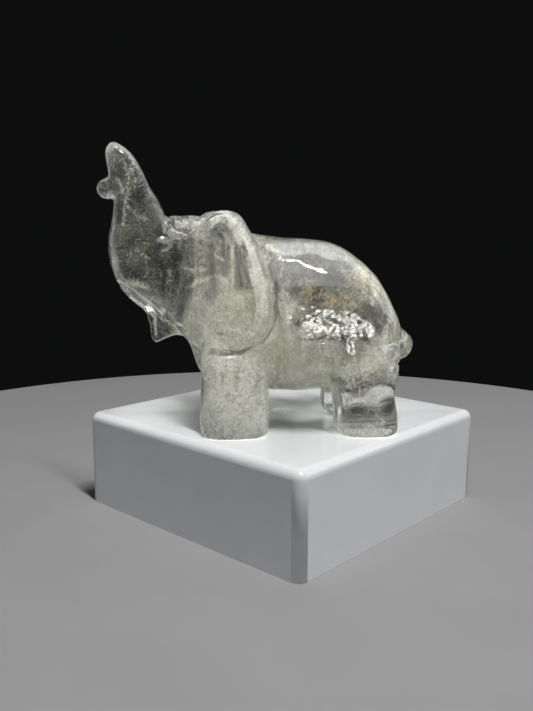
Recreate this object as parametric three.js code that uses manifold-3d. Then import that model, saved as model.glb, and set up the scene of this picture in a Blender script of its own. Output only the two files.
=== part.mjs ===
// A carved rock-crystal elephant, trunk raised, standing on a hollow square plinth.
// Millimetres, +Z up. The origin is the centre of the plinth's foot on the shelf. The elephant faces -Y.
// The elephant is carved from one stone, and the plinth is one moulding, so each is one solid.

import * as THREE from "three";
import { mergeVertices } from "three/addons/utils/BufferGeometryUtils.js";
import Module from "manifold-3d";

const wasm = await Module();
wasm.setup();

// ---------------------------------------------------------------- driving dimensions

// Plinth: a square moulding, open underneath.
const PLINTH_SIDE = 76.2;
const PLINTH_HEIGHT = 25.4;
const PLINTH_WALL = 2.0;
const PLINTH_EDGE_RADIUS = 2.4; // top edges
const PLINTH_CORNER_RADIUS = 2.5; // upright corners
const PLINTH_TURN = 45; // degrees: one corner points the way the elephant looks
const GATE_RADIUS = 3.3; // moulding mark in the middle of the top
const GATE_DEPTH = 0.35;
const GATE_PIP_RADIUS = 0.7;

// Where the elephant was set down on the plinth.
const FIGURINE_OFFSET_X = 12.0;
const FIGURINE_OFFSET_Y = -0.6;
const FIGURINE_TURN = 1.65; // degrees
const REST_GAP = 0.3; // keeps the two solids from sharing a face

// Elephant. Lengths run from its middle, +Y to the rear; heights are above the soles.
const RUMP_END = 30.0;
const WITHERS = -10.5;
const BROW = -29.6; // where the trunk rises from the forehead
const FACE_FRONT = -44.5;
const BELLY = 9.3;
const BACK = 47.8;
const CROWN = 53.1;
const HEAD_DROP = 26.5; // crown to the corner of the mouth
const TRUNK_RISE = 17.5; // crown to the trunk's tip
const BARREL_HALF = 18.6; // half width of the barrel
const SKULL_HALF = 8.9;
const CHEEK_HALF = 7.1;
const TRUNK_HALF = 5.7; // half width where the trunk leaves the forehead
const TAIL_RADIUS = 2.1;

// Legs.
const STANCE = 10.9; // each foot's middle from the middle plane
const FOOT_HALF_WIDTH = 6.6;
const FOOT_ROUND = 1.3;
const FRONT_LEG_AT = -13.5;
const FRONT_LEG_HALF = 8.5;
const REAR_LEG_AT = 19.6;
const REAR_LEG_HALF = 8.05;

// Ears.
const EAR_AT = -19.6; // front edge
const FAR_EAR_SHIFT = -2.2; // the right ear is carved a little further forward
const EAR_FOOT = 21.9;
const EAR_HEIGHT = 32.3;
const EAR_WIDTH = 19.6;
const EAR_THICKNESS = 6.5;
const EAR_FRONT_HALF = 12.4; // from the middle plane to the ear's face at its front edge
const EAR_SPLAY = 22; // degrees: the rear edge stands out from the neck
const EAR_ROUND = 0.9;
const EAR_RIM = 2.3; // width of the raised border round the ear's shallow dish
const EAR_DISH = 0.7; // depth of that dish

// Eyes.
const EYE_AT = -30.9;
const EYE_DROP = 6.5; // below the crown
const EYE_RADIUS = 1.55;
const EYE_CUT = 0.42; // half width of the ring cut round the eye

// Resolution of the solids.
const SEGMENTS = { torso: [32, 26], face: [26, 28], leg: [20, 8], ball: [18, 12], curve: 6 };

// ---------------------------------------------------------------- solids

const radians = THREE.MathUtils.degToRad;

/** A closed geometry as a manifold-3d solid. */
function solidOf(geometry) {
  const bare = geometry.clone();
  bare.deleteAttribute("normal");
  bare.deleteAttribute("uv");
  const merged = mergeVertices(bare, 1e-4);
  return new wasm.Manifold(
    new wasm.Mesh({
      numProp: 3,
      vertProperties: new Float32Array(merged.attributes.position.array),
      triVerts: new Uint32Array(merged.index.array),
    }),
  );
}

/** A manifold-3d solid as a geometry. */
function geometryOf(solid) {
  const { vertProperties, triVerts } = solid.getMesh();
  const geometry = new THREE.BufferGeometry();
  geometry.setAttribute("position", new THREE.BufferAttribute(vertProperties, 3));
  geometry.setIndex(new THREE.BufferAttribute(triVerts, 1));
  geometry.computeVertexNormals();
  return geometry;
}

const joined = (solids) => solids.reduce((whole, next) => whole.add(next));

/**
 * A smooth limb through stations. Each station has a middle (x, y, z), half sizes across (wide) and
 * the other way (deep), and a squareness from 2, an ellipse, upwards. Sections lie level when the limb
 * rises along Z, and stand upright across X when it runs forwards, along -Y.
 */
function limb(stations, run, [around, along]) {
  const middles = new THREE.CatmullRomCurve3(
    stations.map((s) => new THREE.Vector3(s.x ?? 0, s.y, s.z)),
    false,
    "catmullrom",
  );
  const sizes = new THREE.CatmullRomCurve3(
    stations.map((s) => new THREE.Vector3(s.wide, s.deep, s.square ?? 2.3)),
    false,
    "catmullrom",
  );
  const geometry = new THREE.CylinderGeometry(1, 1, 1, around, along);
  const position = geometry.attributes.position;
  const unit = new THREE.Vector3();
  for (let i = 0; i < position.count; i++) {
    unit.fromBufferAttribute(position, i);
    const t = THREE.MathUtils.clamp(unit.y + 0.5, 0, 1);
    const middle = middles.getPoint(t);
    const size = sizes.getPoint(t);
    const reach = Math.hypot(unit.x, unit.z);
    const corner = (v) => Math.sign(v) * Math.abs(v) ** (2 / size.z) * reach;
    const across = corner(unit.x / (reach || 1)) * size.x;
    const other = corner(unit.z / (reach || 1)) * size.y;
    if (run === "z") position.setXYZ(i, middle.x + across, middle.y - other, middle.z);
    else position.setXYZ(i, middle.x + across, middle.y, middle.z - other);
  }
  return solidOf(geometry);
}

/** An ellipsoid. */
function ball(x, y, z, wide, deep, tall) {
  const geometry = new THREE.SphereGeometry(1, ...SEGMENTS.ball);
  geometry.scale(wide, tall, deep);
  geometry.rotateX(Math.PI / 2);
  geometry.translate(x, y, z);
  return solidOf(geometry);
}

/** A tube of one radius along a curve, with flat ends. */
function tube(points, radius, steps) {
  const section = new THREE.Shape().absarc(0, 0, radius, 0, 2 * Math.PI);
  const extrudePath = new THREE.CatmullRomCurve3(points);
  return solidOf(
    new THREE.ExtrudeGeometry(section, { extrudePath, steps, curveSegments: SEGMENTS.curve }),
  );
}

/** A plate whose outline lies in the YZ plane, its middle at x = 0, with rounded edges. */
function plate(outline, thickness, round) {
  const geometry = new THREE.ExtrudeGeometry(outline, {
    depth: thickness - 2 * round,
    bevelThickness: round,
    bevelSize: round,
    bevelOffset: -round,
    bevelSegments: 3,
    curveSegments: SEGMENTS.curve,
  });
  geometry.translate(0, 0, round - thickness / 2);
  geometry.rotateX(Math.PI / 2);
  geometry.rotateZ(Math.PI / 2);
  return geometry;
}

// ---------------------------------------------------------------- elephant

const barrelDepth = BACK - BELLY;
const headDepth = BROW - FACE_FRONT;

/** A torso station from its top, its underside and its half width. */
const slice = (y, top, under, wide, square) => ({
  y,
  z: (top + under) / 2,
  deep: (top - under) / 2,
  wide,
  square,
});

/** A station of the barrel, in shares of its length, depth and width. */
const barrelSlice = (along, top, under, wide, square) =>
  slice(
    THREE.MathUtils.lerp(RUMP_END, WITHERS, along),
    BELLY + top * barrelDepth,
    BELLY + under * barrelDepth,
    wide * BARREL_HALF,
    square,
  );

/** A station of the neck and skull, measured down from the crown. */
const skullSlice = (y, drop, under, wide, square) =>
  slice(y, CROWN - drop * HEAD_DROP, CROWN - under * HEAD_DROP, wide * SKULL_HALF, square);

/** Barrel, neck and skull, from the rump forwards. */
function torso() {
  const neck = (share) => THREE.MathUtils.lerp(WITHERS, BROW, share);
  return limb(
    [
      barrelSlice(0.0, 0.387, 0.2, 0.247, 2.0),
      barrelSlice(0.064, 0.543, 0.127, 0.58, 2.1),
      barrelSlice(0.163, 0.717, 0.104, 0.828),
      barrelSlice(0.281, 0.855, 0.068, 0.946),
      barrelSlice(0.42, 0.953, 0.026, 0.973),
      barrelSlice(0.593, 0.992, 0, 1),
      barrelSlice(0.815, 1.005, 0, 0.935),
      barrelSlice(1, 1.036, 0.016, 0.785),
      slice(neck(0.314), CROWN - 1.2, BELLY + 0.042 * barrelDepth, 0.645 * BARREL_HALF),
      slice(neck(0.576), CROWN, BELLY + 0.109 * barrelDepth, 1.18 * SKULL_HALF),
      skullSlice(neck(0.785), 0, 1.147, 1),
      skullSlice(BROW, 0.023, 1.049, 0.854),
      skullSlice(BROW - 0.295 * headDepth, 0.245, 0.823, 0.596, 2.0),
      skullSlice(BROW - 0.403 * headDepth, 0.415, 0.634, 0.225, 2.0),
    ],
    "y",
    SEGMENTS.torso,
  );
}

/** A level face or trunk station from its front edge and its depth. */
const level = (z, setBack, depth, wide, square) => ({
  z,
  y: FACE_FRONT + (setBack + depth / 2) * headDepth,
  deep: (depth * headDepth) / 2,
  wide,
  square,
});

/** The face and the raised trunk, from the mouth upwards. */
function faceAndTrunk() {
  const face = (drop, setBack, depth, wide) =>
    level(CROWN - drop * HEAD_DROP, setBack, depth, wide * CHEEK_HALF);
  const trunk = (rise, setBack, depth, wide, square) =>
    level(CROWN + rise * TRUNK_RISE, setBack, depth, wide * TRUNK_HALF, square);
  return limb(
    [
      face(1, 0.685, 0.477, 0.45),
      face(0.894, 0.611, 0.765, 0.69),
      face(0.811, 0.43, 1.107, 0.86),
      face(0.698, 0.221, 1.383, 0.97),
      face(0.54, 0.074, 1.53, 1.03),
      face(0.358, 0.007, 1.49, 1),
      face(0.192, 0.013, 1.215, 0.93),
      trunk(-0.051, 0.087, 0.899, 1, 2.5),
      trunk(0.166, 0.128, 0.745, 0.895, 2.8),
      trunk(0.383, 0.094, 0.631, 0.772, 2.8),
      trunk(0.634, 0.04, 0.544, 0.684, 2.8),
      trunk(0.817, 0, 0.45, 0.561, 2.6),
      trunk(0.926, 0.027, 0.289, 0.421, 2.3),
      trunk(1, 0.087, 0.087, 0.175, 2.0),
    ],
    "z",
    SEGMENTS.face,
  );
}

/** The lower finger of the trunk's tip. */
function trunkFinger() {
  const height = CROWN + 0.354 * TRUNK_RISE;
  return joined([
    ball(0, FACE_FRONT + 0.2, height, TRUNK_HALF - 2.2, 2.55, 2.45),
    ball(0, FACE_FRONT + 2.4, height + 0.6, TRUNK_HALF - 2.0, 3.4, 3.0),
  ]);
}

/** The pointed lower jaw under the face. */
function jaw() {
  const tip = FACE_FRONT + 0.765 * headDepth;
  const mouth = CROWN - HEAD_DROP;
  const outline = [
    [-1.4, 4.4],
    [-1.3, 0.4],
    [-1.1, -3.4],
    [0.2, -5.1],
    [2.2, -4.2],
    [5.6, -3.0],
    [9.6, -4.0],
    [11.0, 0.4],
    [9.0, 5.4],
    [3.0, 6.4],
    [-1.4, 4.4],
  ].map(([y, z]) => new THREE.Vector2(tip + y, mouth + z));
  const round = new THREE.SplineCurve(outline).getPoints(40).slice(0, -1);
  return solidOf(plate(new THREE.Shape(round), CHEEK_HALF, 0.7));
}

/** One leg, side +1 for the left and -1 for the right, with its rounded sole flat on the ground. */
function leg(side, at, half, stations) {
  return limb(
    stations.map(([z, shift, grow, inward, wider]) => ({
      x: side * (STANCE - inward),
      y: at + shift,
      z,
      wide: FOOT_HALF_WIDTH + wider,
      deep: half + grow,
      square: 3.2,
    })),
    "z",
    SEGMENTS.leg,
  );
}

function frontLeg(side) {
  return leg(side, FRONT_LEG_AT, FRONT_LEG_HALF, [
    [0, 0, -1.0, 0, -1.0],
    [FOOT_ROUND, 0, -0.1, 0, 0],
    [BELLY - 3.4, 0, 0, 0, 0],
    [BELLY + 3.6, 0.4, -0.5, 0.4, -0.3],
    [BELLY + 9.6, 0.2, 0.2, 1.8, 0.1],
    [BELLY + 15.6, 0, -1.0, 4.4, 0.2],
  ]);
}

function rearLeg(side) {
  return leg(side, REAR_LEG_AT, REAR_LEG_HALF, [
    [0, 0.3, -0.9, 0, -1.0],
    [FOOT_ROUND, 0.1, 0, 0, 0],
    [BELLY - 4.0, -0.2, 0, 0, -0.1],
    [BELLY + 1.2, -1.2, 0, 0.3, -0.4],
    [BELLY + 6.6, -1.8, 0.9, 0.7, -0.2],
    [BELLY + 13.0, -2.6, 1.2, 2.2, 0.4],
  ]);
}

/** The thigh that overhangs each rear leg. */
const haunch = (side) =>
  ball(side * 0.4 * BARREL_HALF, REAR_LEG_AT - 4.4, BELLY + 14.3, 0.56 * BARREL_HALF, 11.9, 10.2);

/** The edge of an ear seen from its side, grown outwards by a distance. */
function earOutline(grow) {
  const edge = [
    [-0.05, 0.03],
    [0.306, -0.006],
    [0.689, 0.009],
    [0.939, 0.13],
    [1, 0.325],
    [0.908, 0.573],
    [0.745, 0.817],
    [0.561, 0.972],
    [0.357, 1],
    [0.153, 0.926],
    [0.051, 0.802],
    [0.082, 0.464],
    [-0.061, 0.248],
  ].map(([y, z]) => new THREE.Vector2(y * EAR_WIDTH, EAR_FOOT + z * EAR_HEIGHT));
  const grown = edge.map((point, i) => {
    const along = edge[(i + 1) % edge.length].clone().sub(edge.at(i - 1)).normalize();
    return new THREE.Vector2(point.x + along.y * grow, point.y - along.x * grow);
  });
  const round = new THREE.SplineCurve([...grown, grown[0]]).getPoints(4 * edge.length);
  return new THREE.Shape(round.slice(0, -1));
}

/** An ear as a raised flap with a dished face, splayed outwards to the rear. */
function ear(side, shift) {
  const flap = plate(earOutline(0), EAR_THICKNESS, EAR_ROUND);
  const dish = plate(earOutline(-EAR_RIM), EAR_THICKNESS, EAR_DISH / 2);
  dish.translate(side * (EAR_THICKNESS - EAR_DISH), -0.4 * EAR_RIM, 0);
  const placed = [flap, dish].map((geometry) => {
    geometry.translate(side * (EAR_FRONT_HALF - EAR_THICKNESS / 2), 0, 0);
    geometry.rotateZ(-side * radians(EAR_SPLAY));
    geometry.translate(0, EAR_AT + shift, 0);
    return solidOf(geometry);
  });
  return placed[0].subtract(placed[1]);
}

/** The tail's root and its curl against the left of the rump. */
function tail() {
  const height = BELLY + 0.3 * barrelDepth;
  const curl = [
    [0.6, -0.4, 0.6],
    [4.6, -1.7, 1.5],
    [8.4, -4.2, -0.1],
    [10.6, -6.2, -3.3],
  ].map(([x, y, z]) => new THREE.Vector3(x, RUMP_END + y, height + z));
  return joined([
    ball(0, RUMP_END - 0.6, height - 0.3, 2 * TAIL_RADIUS, 4.0, 5.0),
    tube(curl, TAIL_RADIUS, 10),
  ]);
}

/** A shallow ring cut round each eye. */
function eyeRing(side) {
  const ring = new THREE.TorusGeometry(EYE_RADIUS, EYE_CUT, 6, 20);
  ring.rotateY(Math.PI / 2);
  ring.rotateZ(-side * radians(12));
  ring.translate(side * CHEEK_HALF, EYE_AT, CROWN - EYE_DROP);
  return solidOf(ring);
}

/** The whole elephant, one stone. */
function elephant() {
  const stone = joined([
    torso(),
    faceAndTrunk(),
    trunkFinger(),
    jaw(),
    ...[1, -1].flatMap((side) => [frontLeg(side), rearLeg(side), haunch(side)]),
    ear(1, 0),
    ear(-1, FAR_EAR_SHIFT),
    tail(),
  ]);
  return geometryOf(stone.subtract(joined([eyeRing(1), eyeRing(-1)])));
}

// ---------------------------------------------------------------- plinth

/** A rounded square prism standing on z = 0, with rounded top edges. */
function roundedBlock(side, height, corner, edge) {
  const half = side / 2;
  const outline = new THREE.Shape();
  outline.moveTo(half, -half + corner);
  outline.absarc(half - corner, half - corner, corner, 0, Math.PI / 2);
  outline.absarc(-half + corner, half - corner, corner, Math.PI / 2, Math.PI);
  outline.absarc(-half + corner, -half + corner, corner, Math.PI, 1.5 * Math.PI);
  outline.absarc(half - corner, -half + corner, corner, 1.5 * Math.PI, 2 * Math.PI);
  const geometry = new THREE.ExtrudeGeometry(outline, {
    depth: 2 * (height - edge),
    bevelThickness: edge,
    bevelSize: edge,
    bevelOffset: -edge,
    bevelSegments: 6,
    curveSegments: 6,
  });
  geometry.translate(0, 0, -(height - edge));
  const ground = new THREE.BoxGeometry(2 * side, 2 * side, 2 * height);
  ground.translate(0, 0, -height);
  return solidOf(geometry).subtract(solidOf(ground));
}

/** The moulding mark: a shallow dish with a pip in it. */
function gateMark() {
  const profile = [
    [0, -GATE_DEPTH],
    [GATE_RADIUS - 2 * GATE_DEPTH, -GATE_DEPTH],
    [GATE_RADIUS, 0],
    [GATE_RADIUS + 1, 1],
    [0, 1],
  ].map(([r, z]) => new THREE.Vector2(r, z));
  const pip = [
    [0, -1],
    [GATE_PIP_RADIUS, -1],
    [GATE_PIP_RADIUS, -0.2 * GATE_DEPTH],
    [0, 0],
  ].map(([r, z]) => new THREE.Vector2(r, z));
  const turned = (points) => {
    const geometry = new THREE.LatheGeometry(points, 32);
    geometry.rotateX(Math.PI / 2);
    geometry.translate(0, 0, PLINTH_HEIGHT);
    return solidOf(geometry);
  };
  return turned(profile).subtract(turned(pip));
}

/** The plinth: an open-bottomed shell with one wall thickness. */
function plinth() {
  const outer = roundedBlock(PLINTH_SIDE, PLINTH_HEIGHT, PLINTH_CORNER_RADIUS, PLINTH_EDGE_RADIUS);
  const inner = roundedBlock(
    PLINTH_SIDE - 2 * PLINTH_WALL,
    PLINTH_HEIGHT - PLINTH_WALL,
    Math.max(PLINTH_CORNER_RADIUS - PLINTH_WALL, 0.4),
    Math.max(PLINTH_EDGE_RADIUS - PLINTH_WALL, 0.4),
  );
  return geometryOf(outer.subtract(inner).subtract(gateMark()));
}

// ---------------------------------------------------------------- materials and assembly

const crystal = new THREE.MeshStandardMaterial({ color: 0xe4e6df, roughness: 0.05, metalness: 0 });
const whitePlastic = new THREE.MeshStandardMaterial({ color: 0xd9dcde, roughness: 0.3, metalness: 0 });

const plinthMesh = new THREE.Mesh(plinth(), whitePlastic);
plinthMesh.name = "display_plinth";
plinthMesh.rotation.z = radians(PLINTH_TURN);

const elephantMesh = new THREE.Mesh(elephant(), crystal);
elephantMesh.name = "crystal_elephant";

const figurine = new THREE.Group();
figurine.position.set(FIGURINE_OFFSET_X, FIGURINE_OFFSET_Y, PLINTH_HEIGHT + REST_GAP);
figurine.rotation.z = radians(FIGURINE_TURN);
figurine.add(elephantMesh);

const whole = new THREE.Group();
whole.add(plinthMesh, figurine);

export default whole;
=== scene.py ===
"""A rock-crystal elephant with its trunk raised, standing loose on a hollow white plinth."""

import logging
import math
from dataclasses import dataclass, field
from enum import Enum

import bmesh
import bpy
import numpy as np
from mathutils import Matrix, Vector, noise


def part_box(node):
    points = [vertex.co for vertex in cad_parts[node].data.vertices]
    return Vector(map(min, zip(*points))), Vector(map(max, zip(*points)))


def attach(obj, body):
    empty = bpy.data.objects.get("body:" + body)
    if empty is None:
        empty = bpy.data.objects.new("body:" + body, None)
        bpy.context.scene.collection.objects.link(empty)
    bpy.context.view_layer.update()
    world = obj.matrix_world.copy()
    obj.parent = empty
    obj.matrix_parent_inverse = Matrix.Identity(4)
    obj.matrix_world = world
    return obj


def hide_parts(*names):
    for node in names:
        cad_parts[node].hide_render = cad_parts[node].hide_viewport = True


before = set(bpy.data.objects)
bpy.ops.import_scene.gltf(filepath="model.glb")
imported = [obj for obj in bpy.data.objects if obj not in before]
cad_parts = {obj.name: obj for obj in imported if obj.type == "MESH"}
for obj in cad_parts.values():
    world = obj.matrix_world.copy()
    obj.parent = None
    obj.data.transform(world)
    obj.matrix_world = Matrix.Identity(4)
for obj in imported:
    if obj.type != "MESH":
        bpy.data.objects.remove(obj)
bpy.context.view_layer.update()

log = logging.getLogger("crystal_elephant")

MM = 0.001

Triple = tuple[float, float, float]
Colour = tuple[float, float, float, float]
Value = bpy.types.NodeSocket | float


# ---------------------------------------------------------------- shared tools


class Side(Enum):
    """The elephant's two sides."""

    LEFT = 1
    RIGHT = -1


class Run(Enum):
    """Which way a limb's sections follow each other."""

    UPWARDS = "up"
    FORWARDS = "forwards"


def spline(points: np.ndarray, at: np.ndarray, closed: bool = False) -> np.ndarray:
    """Points on a smooth curve through rows of numbers.

    Args:
        points: One row for each point the curve passes through.
        at: Places on the curve, from 0 at its start to 1 at its end.
        closed: Whether the curve runs back to its first point.

    Returns:
        One row for each place.
    """
    count = len(points)
    if closed:
        padded = np.vstack([points[-1:], points, points[:2]])
        place = at * count
        last = count - 1
    else:
        before = 2 * points[0] - points[1]
        after = 2 * points[-1] - points[-2]
        padded = np.vstack([before, points, after])
        place = at * (count - 1)
        last = count - 2
    start = np.clip(np.floor(place).astype(int), 0, last)
    t = (place - start)[:, None]
    a, b, c, d = (padded[start + k] for k in range(4))
    return 0.5 * (
        2 * b + (c - a) * t + (2 * a - 5 * b + 4 * c - d) * t**2 + (3 * b - a - 3 * c + d) * t**3
    )


def distance_to_line(points: np.ndarray, line: np.ndarray) -> np.ndarray:
    """How far flat points are from a line of straight pieces.

    Args:
        points: Rows of two numbers.
        line: Rows of two numbers, the line's corners in order.

    Returns:
        One distance for each point.
    """
    nearest = np.full(len(points), np.inf)
    for a, b in zip(line[:-1], line[1:]):
        along = b - a
        share = np.clip(((points - a) @ along) / max(along @ along, 1e-12), 0, 1)
        nearest = np.minimum(nearest, np.linalg.norm(points - a - share[:, None] * along, axis=1))
    return nearest


def bell(distance: np.ndarray, width: float) -> np.ndarray:
    """A smooth bump that is 1 at no distance and has nearly gone at twice the width."""
    return np.exp(-((distance / width) ** 2))


def step_up(value: np.ndarray, low: float, high: float) -> np.ndarray:
    """Rises smoothly from 0 at low to 1 at high."""
    share = np.clip((value - low) / (high - low), 0, 1)
    return share * share * (3 - 2 * share)


def read_points(mesh: bpy.types.Mesh) -> tuple[np.ndarray, np.ndarray]:
    """A mesh's vertex places and vertex normals.

    Args:
        mesh: The mesh.

    Returns:
        The places and the normals, one row for each vertex.
    """
    points = np.zeros(3 * len(mesh.vertices), np.float32)
    normals = np.zeros(3 * len(mesh.vertices), np.float32)
    mesh.vertices.foreach_get("co", points)
    mesh.vertex_normals.foreach_get("vector", normals)
    return points.reshape(-1, 3).astype(float), normals.reshape(-1, 3).astype(float)


def write_points(mesh: bpy.types.Mesh, points: np.ndarray) -> None:
    """Puts a mesh's vertices at these places."""
    mesh.vertices.foreach_set("co", points.astype(np.float32).ravel())
    mesh.update()


def noise_at(points: np.ndarray, size: float, seed: float) -> np.ndarray:
    """Smooth noise from -1 to 1 with waves of about this size, one value for each point."""
    return np.array([noise.noise(Vector(p) / size + Vector((seed, 2 * seed, 0))) for p in points])


def smoothed(mesh: bpy.types.Mesh, passes: int, factor: float = 0.5) -> None:
    """Evens out a mesh's surface in place.

    Args:
        mesh: The mesh.
        passes: How many times each vertex moves towards its neighbours.
        factor: How far it moves each time.
    """
    bm = bmesh.new()
    bm.from_mesh(mesh)
    for _ in range(passes):
        bmesh.ops.smooth_vert(
            bm, verts=bm.verts, factor=factor, use_axis_x=True, use_axis_y=True, use_axis_z=True
        )
    bm.to_mesh(mesh)
    bm.free()
    mesh.update()


def fused(parts: list[bmesh.types.BMesh], voxel: float) -> bpy.types.Mesh:
    """Joins overlapping closed forms into one closed skin.

    Args:
        parts: The forms, which are used up.
        voxel: The size of the new skin's faces.

    Returns:
        The skin's mesh.
    """
    whole = bmesh.new()
    for part in parts:
        spare = bpy.data.meshes.new("spare")
        part.to_mesh(spare)
        part.free()
        whole.from_mesh(spare)
        bpy.data.meshes.remove(spare)
    rough = bpy.data.meshes.new("rough")
    whole.to_mesh(rough)
    whole.free()
    holder = bpy.data.objects.new("rough", rough)
    bpy.context.scene.collection.objects.link(holder)
    remesh = holder.modifiers.new("fuse", "REMESH")
    remesh.mode = "VOXEL"
    remesh.voxel_size = voxel
    skin = bpy.data.meshes.new_from_object(
        holder.evaluated_get(bpy.context.evaluated_depsgraph_get())
    )
    bpy.data.objects.remove(holder)
    bpy.data.meshes.remove(rough)
    return skin


def finished_piece(
    name: str, mesh: bpy.types.Mesh, material: bpy.types.Material, smooth: bool = True
) -> bpy.types.Object:
    """Puts a mesh in the scene as a piece with one material.

    Args:
        name: The piece's name.
        mesh: Its mesh.
        material: Its finish.
        smooth: Whether its faces are shaded as one smooth surface.

    Returns:
        The piece.
    """
    mesh.name = name
    mesh.materials.clear()
    mesh.materials.append(material)
    mesh.polygons.foreach_set("use_smooth", [smooth] * len(mesh.polygons))
    piece = bpy.data.objects.new(name, mesh)
    bpy.context.scene.collection.objects.link(piece)
    return piece


def report(piece: bpy.types.Object) -> None:
    """Logs a piece and the size of its mesh."""
    log.info("%s: %d faces", piece.name, len(piece.data.polygons))


# ---------------------------------------------------------------- finishes


class Graph:
    """The nodes of a material or a world, with short calls to add and join them."""

    def __init__(self, name: str, is_world: bool = False) -> None:
        """Starts an empty material or world.

        Args:
            name: Its name.
            is_world: Whether it is a world.
        """
        self.block = (bpy.data.worlds if is_world else bpy.data.materials).new(name)
        self.block.use_nodes = True
        self.tree = self.block.node_tree
        self.tree.nodes.clear()
        kind = "ShaderNodeOutputWorld" if is_world else "ShaderNodeOutputMaterial"
        self.output = self.tree.nodes.new(kind)

    def add(
        self, kind: str, sockets: dict[str | int, object] | None = None, **settings: object
    ) -> bpy.types.Node:
        """Adds a node.

        Args:
            kind: The node's type, without its ShaderNode prefix.
            sockets: Values or sockets for its inputs, by name or number.
            **settings: Values for its own properties.

        Returns:
            The node.
        """
        node = self.tree.nodes.new("ShaderNode" + kind)
        for key, value in settings.items():
            setattr(node, key, value)
        for key, value in (sockets or {}).items():
            if isinstance(value, bpy.types.NodeSocket):
                self.tree.links.new(value, node.inputs[key])
            else:
                node.inputs[key].default_value = value
        return node

    def place(self) -> bpy.types.NodeSocket:
        """The place on the piece, in metres."""
        return self.add("TexCoord").outputs["Object"]

    def stretched(self, scale: Triple, turn: Triple) -> bpy.types.NodeSocket:
        """The place on the piece, turned and stretched."""
        mapping = self.add("Mapping", {"Vector": self.place(), "Scale": scale, "Rotation": turn})
        return mapping.outputs["Vector"]

    def noise(
        self,
        scale: float,
        detail: float = 3.0,
        rough: float = 0.5,
        warp: float = 0.0,
        at: bpy.types.NodeSocket | None = None,
    ) -> bpy.types.NodeSocket:
        """Cloudy noise.

        Args:
            scale: How many of its clouds fit in a metre.
            detail: How many finer layers it has.
            rough: How strong the finer layers are.
            warp: How far it is pushed about by itself.
            at: The place it is read at, if not the place on the piece.

        Returns:
            A value from 0 to 1.
        """
        node = self.add(
            "TexNoise",
            {
                "Vector": at or self.place(),
                "Scale": scale,
                "Detail": detail,
                "Roughness": rough,
                "Distortion": warp,
            },
        )
        return node.outputs["Fac"]

    def warped(self, scale: float, amount: float) -> bpy.types.NodeSocket:
        """The place on the piece, pushed about by noise.

        Args:
            scale: The noise's scale.
            amount: How far it pushes, in metres.

        Returns:
            The place.
        """
        cloudy = self.add("TexNoise", {"Vector": self.place(), "Scale": scale, "Detail": 3.0})
        push = self.add("VectorMath", {0: cloudy.outputs["Color"], 3: amount}, operation="SCALE")
        moved = self.add("VectorMath", {0: self.place(), 1: push.outputs[0]}, operation="ADD")
        return moved.outputs[0]

    def cells(
        self, scale: float, feature: str, at: bpy.types.NodeSocket | None = None
    ) -> bpy.types.NodeSocket:
        """The distance output of a cell pattern."""
        sockets = {"Vector": at or self.place(), "Scale": scale}
        return self.add("TexVoronoi", sockets, feature=feature).outputs["Distance"]

    def levels(
        self,
        value: bpy.types.NodeSocket,
        low: float,
        high: float,
        out_low: float = 0.0,
        out_high: float = 1.0,
    ) -> bpy.types.NodeSocket:
        """Spreads the values between two numbers over another range, and cuts off the rest.

        Args:
            value: The value.
            low: The value that becomes out_low.
            high: The value that becomes out_high.
            out_low: The new range's start.
            out_high: The new range's end.

        Returns:
            The new value.
        """
        node = self.add(
            "MapRange",
            {
                "Value": value,
                "From Min": low,
                "From Max": high,
                "To Min": out_low,
                "To Max": out_high,
            },
            clamp=True,
        )
        return node.outputs["Result"]

    def math(
        self, operation: str, a: Value, b: Value = 0.0, clamp: bool = False
    ) -> bpy.types.NodeSocket:
        """One sum of two values."""
        node = self.add("Math", {0: a, 1: b}, operation=operation, use_clamp=clamp)
        return node.outputs[0]

    def times(self, a: Value, b: Value, clamp: bool = False) -> bpy.types.NodeSocket:
        """Two values multiplied."""
        return self.math("MULTIPLY", a, b, clamp)

    def higher(self, a: Value, b: Value) -> bpy.types.NodeSocket:
        """The higher of two values."""
        return self.math("MAXIMUM", a, b)

    def blend(
        self, share: bpy.types.NodeSocket, first: object, second: object
    ) -> bpy.types.NodeSocket:
        """A colour between two colours."""
        node = self.add("Mix", {0: share, 6: first, 7: second}, data_type="RGBA")
        return node.outputs[2]

    def bump(
        self,
        height: bpy.types.NodeSocket,
        strength: float,
        distance: float,
        under: bpy.types.NodeSocket | None = None,
    ) -> bpy.types.NodeSocket:
        """A normal tipped by a height.

        Args:
            height: The height.
            strength: How much of it counts.
            distance: How high its highest place is, in metres.
            under: A normal that it lies on.

        Returns:
            The normal.
        """
        sockets = {"Height": height, "Strength": strength, "Distance": distance}
        if under is not None:
            sockets["Normal"] = under
        return self.add("Bump", sockets).outputs["Normal"]

    def painted(self, attribute: str) -> bpy.types.NodeSocket:
        """A number stored on the piece's vertices."""
        return self.add("Attribute", attribute_name=attribute).outputs["Fac"]

    def surface(self, sockets: dict[str, object]) -> bpy.types.Node:
        """Makes the shader that the material shows.

        Args:
            sockets: Values or sockets for the shader's inputs.

        Returns:
            The shader's node.
        """
        shader = self.add("BsdfPrincipled", sockets)
        self.tree.links.new(shader.outputs[0], self.output.inputs["Surface"])
        return shader


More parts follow.
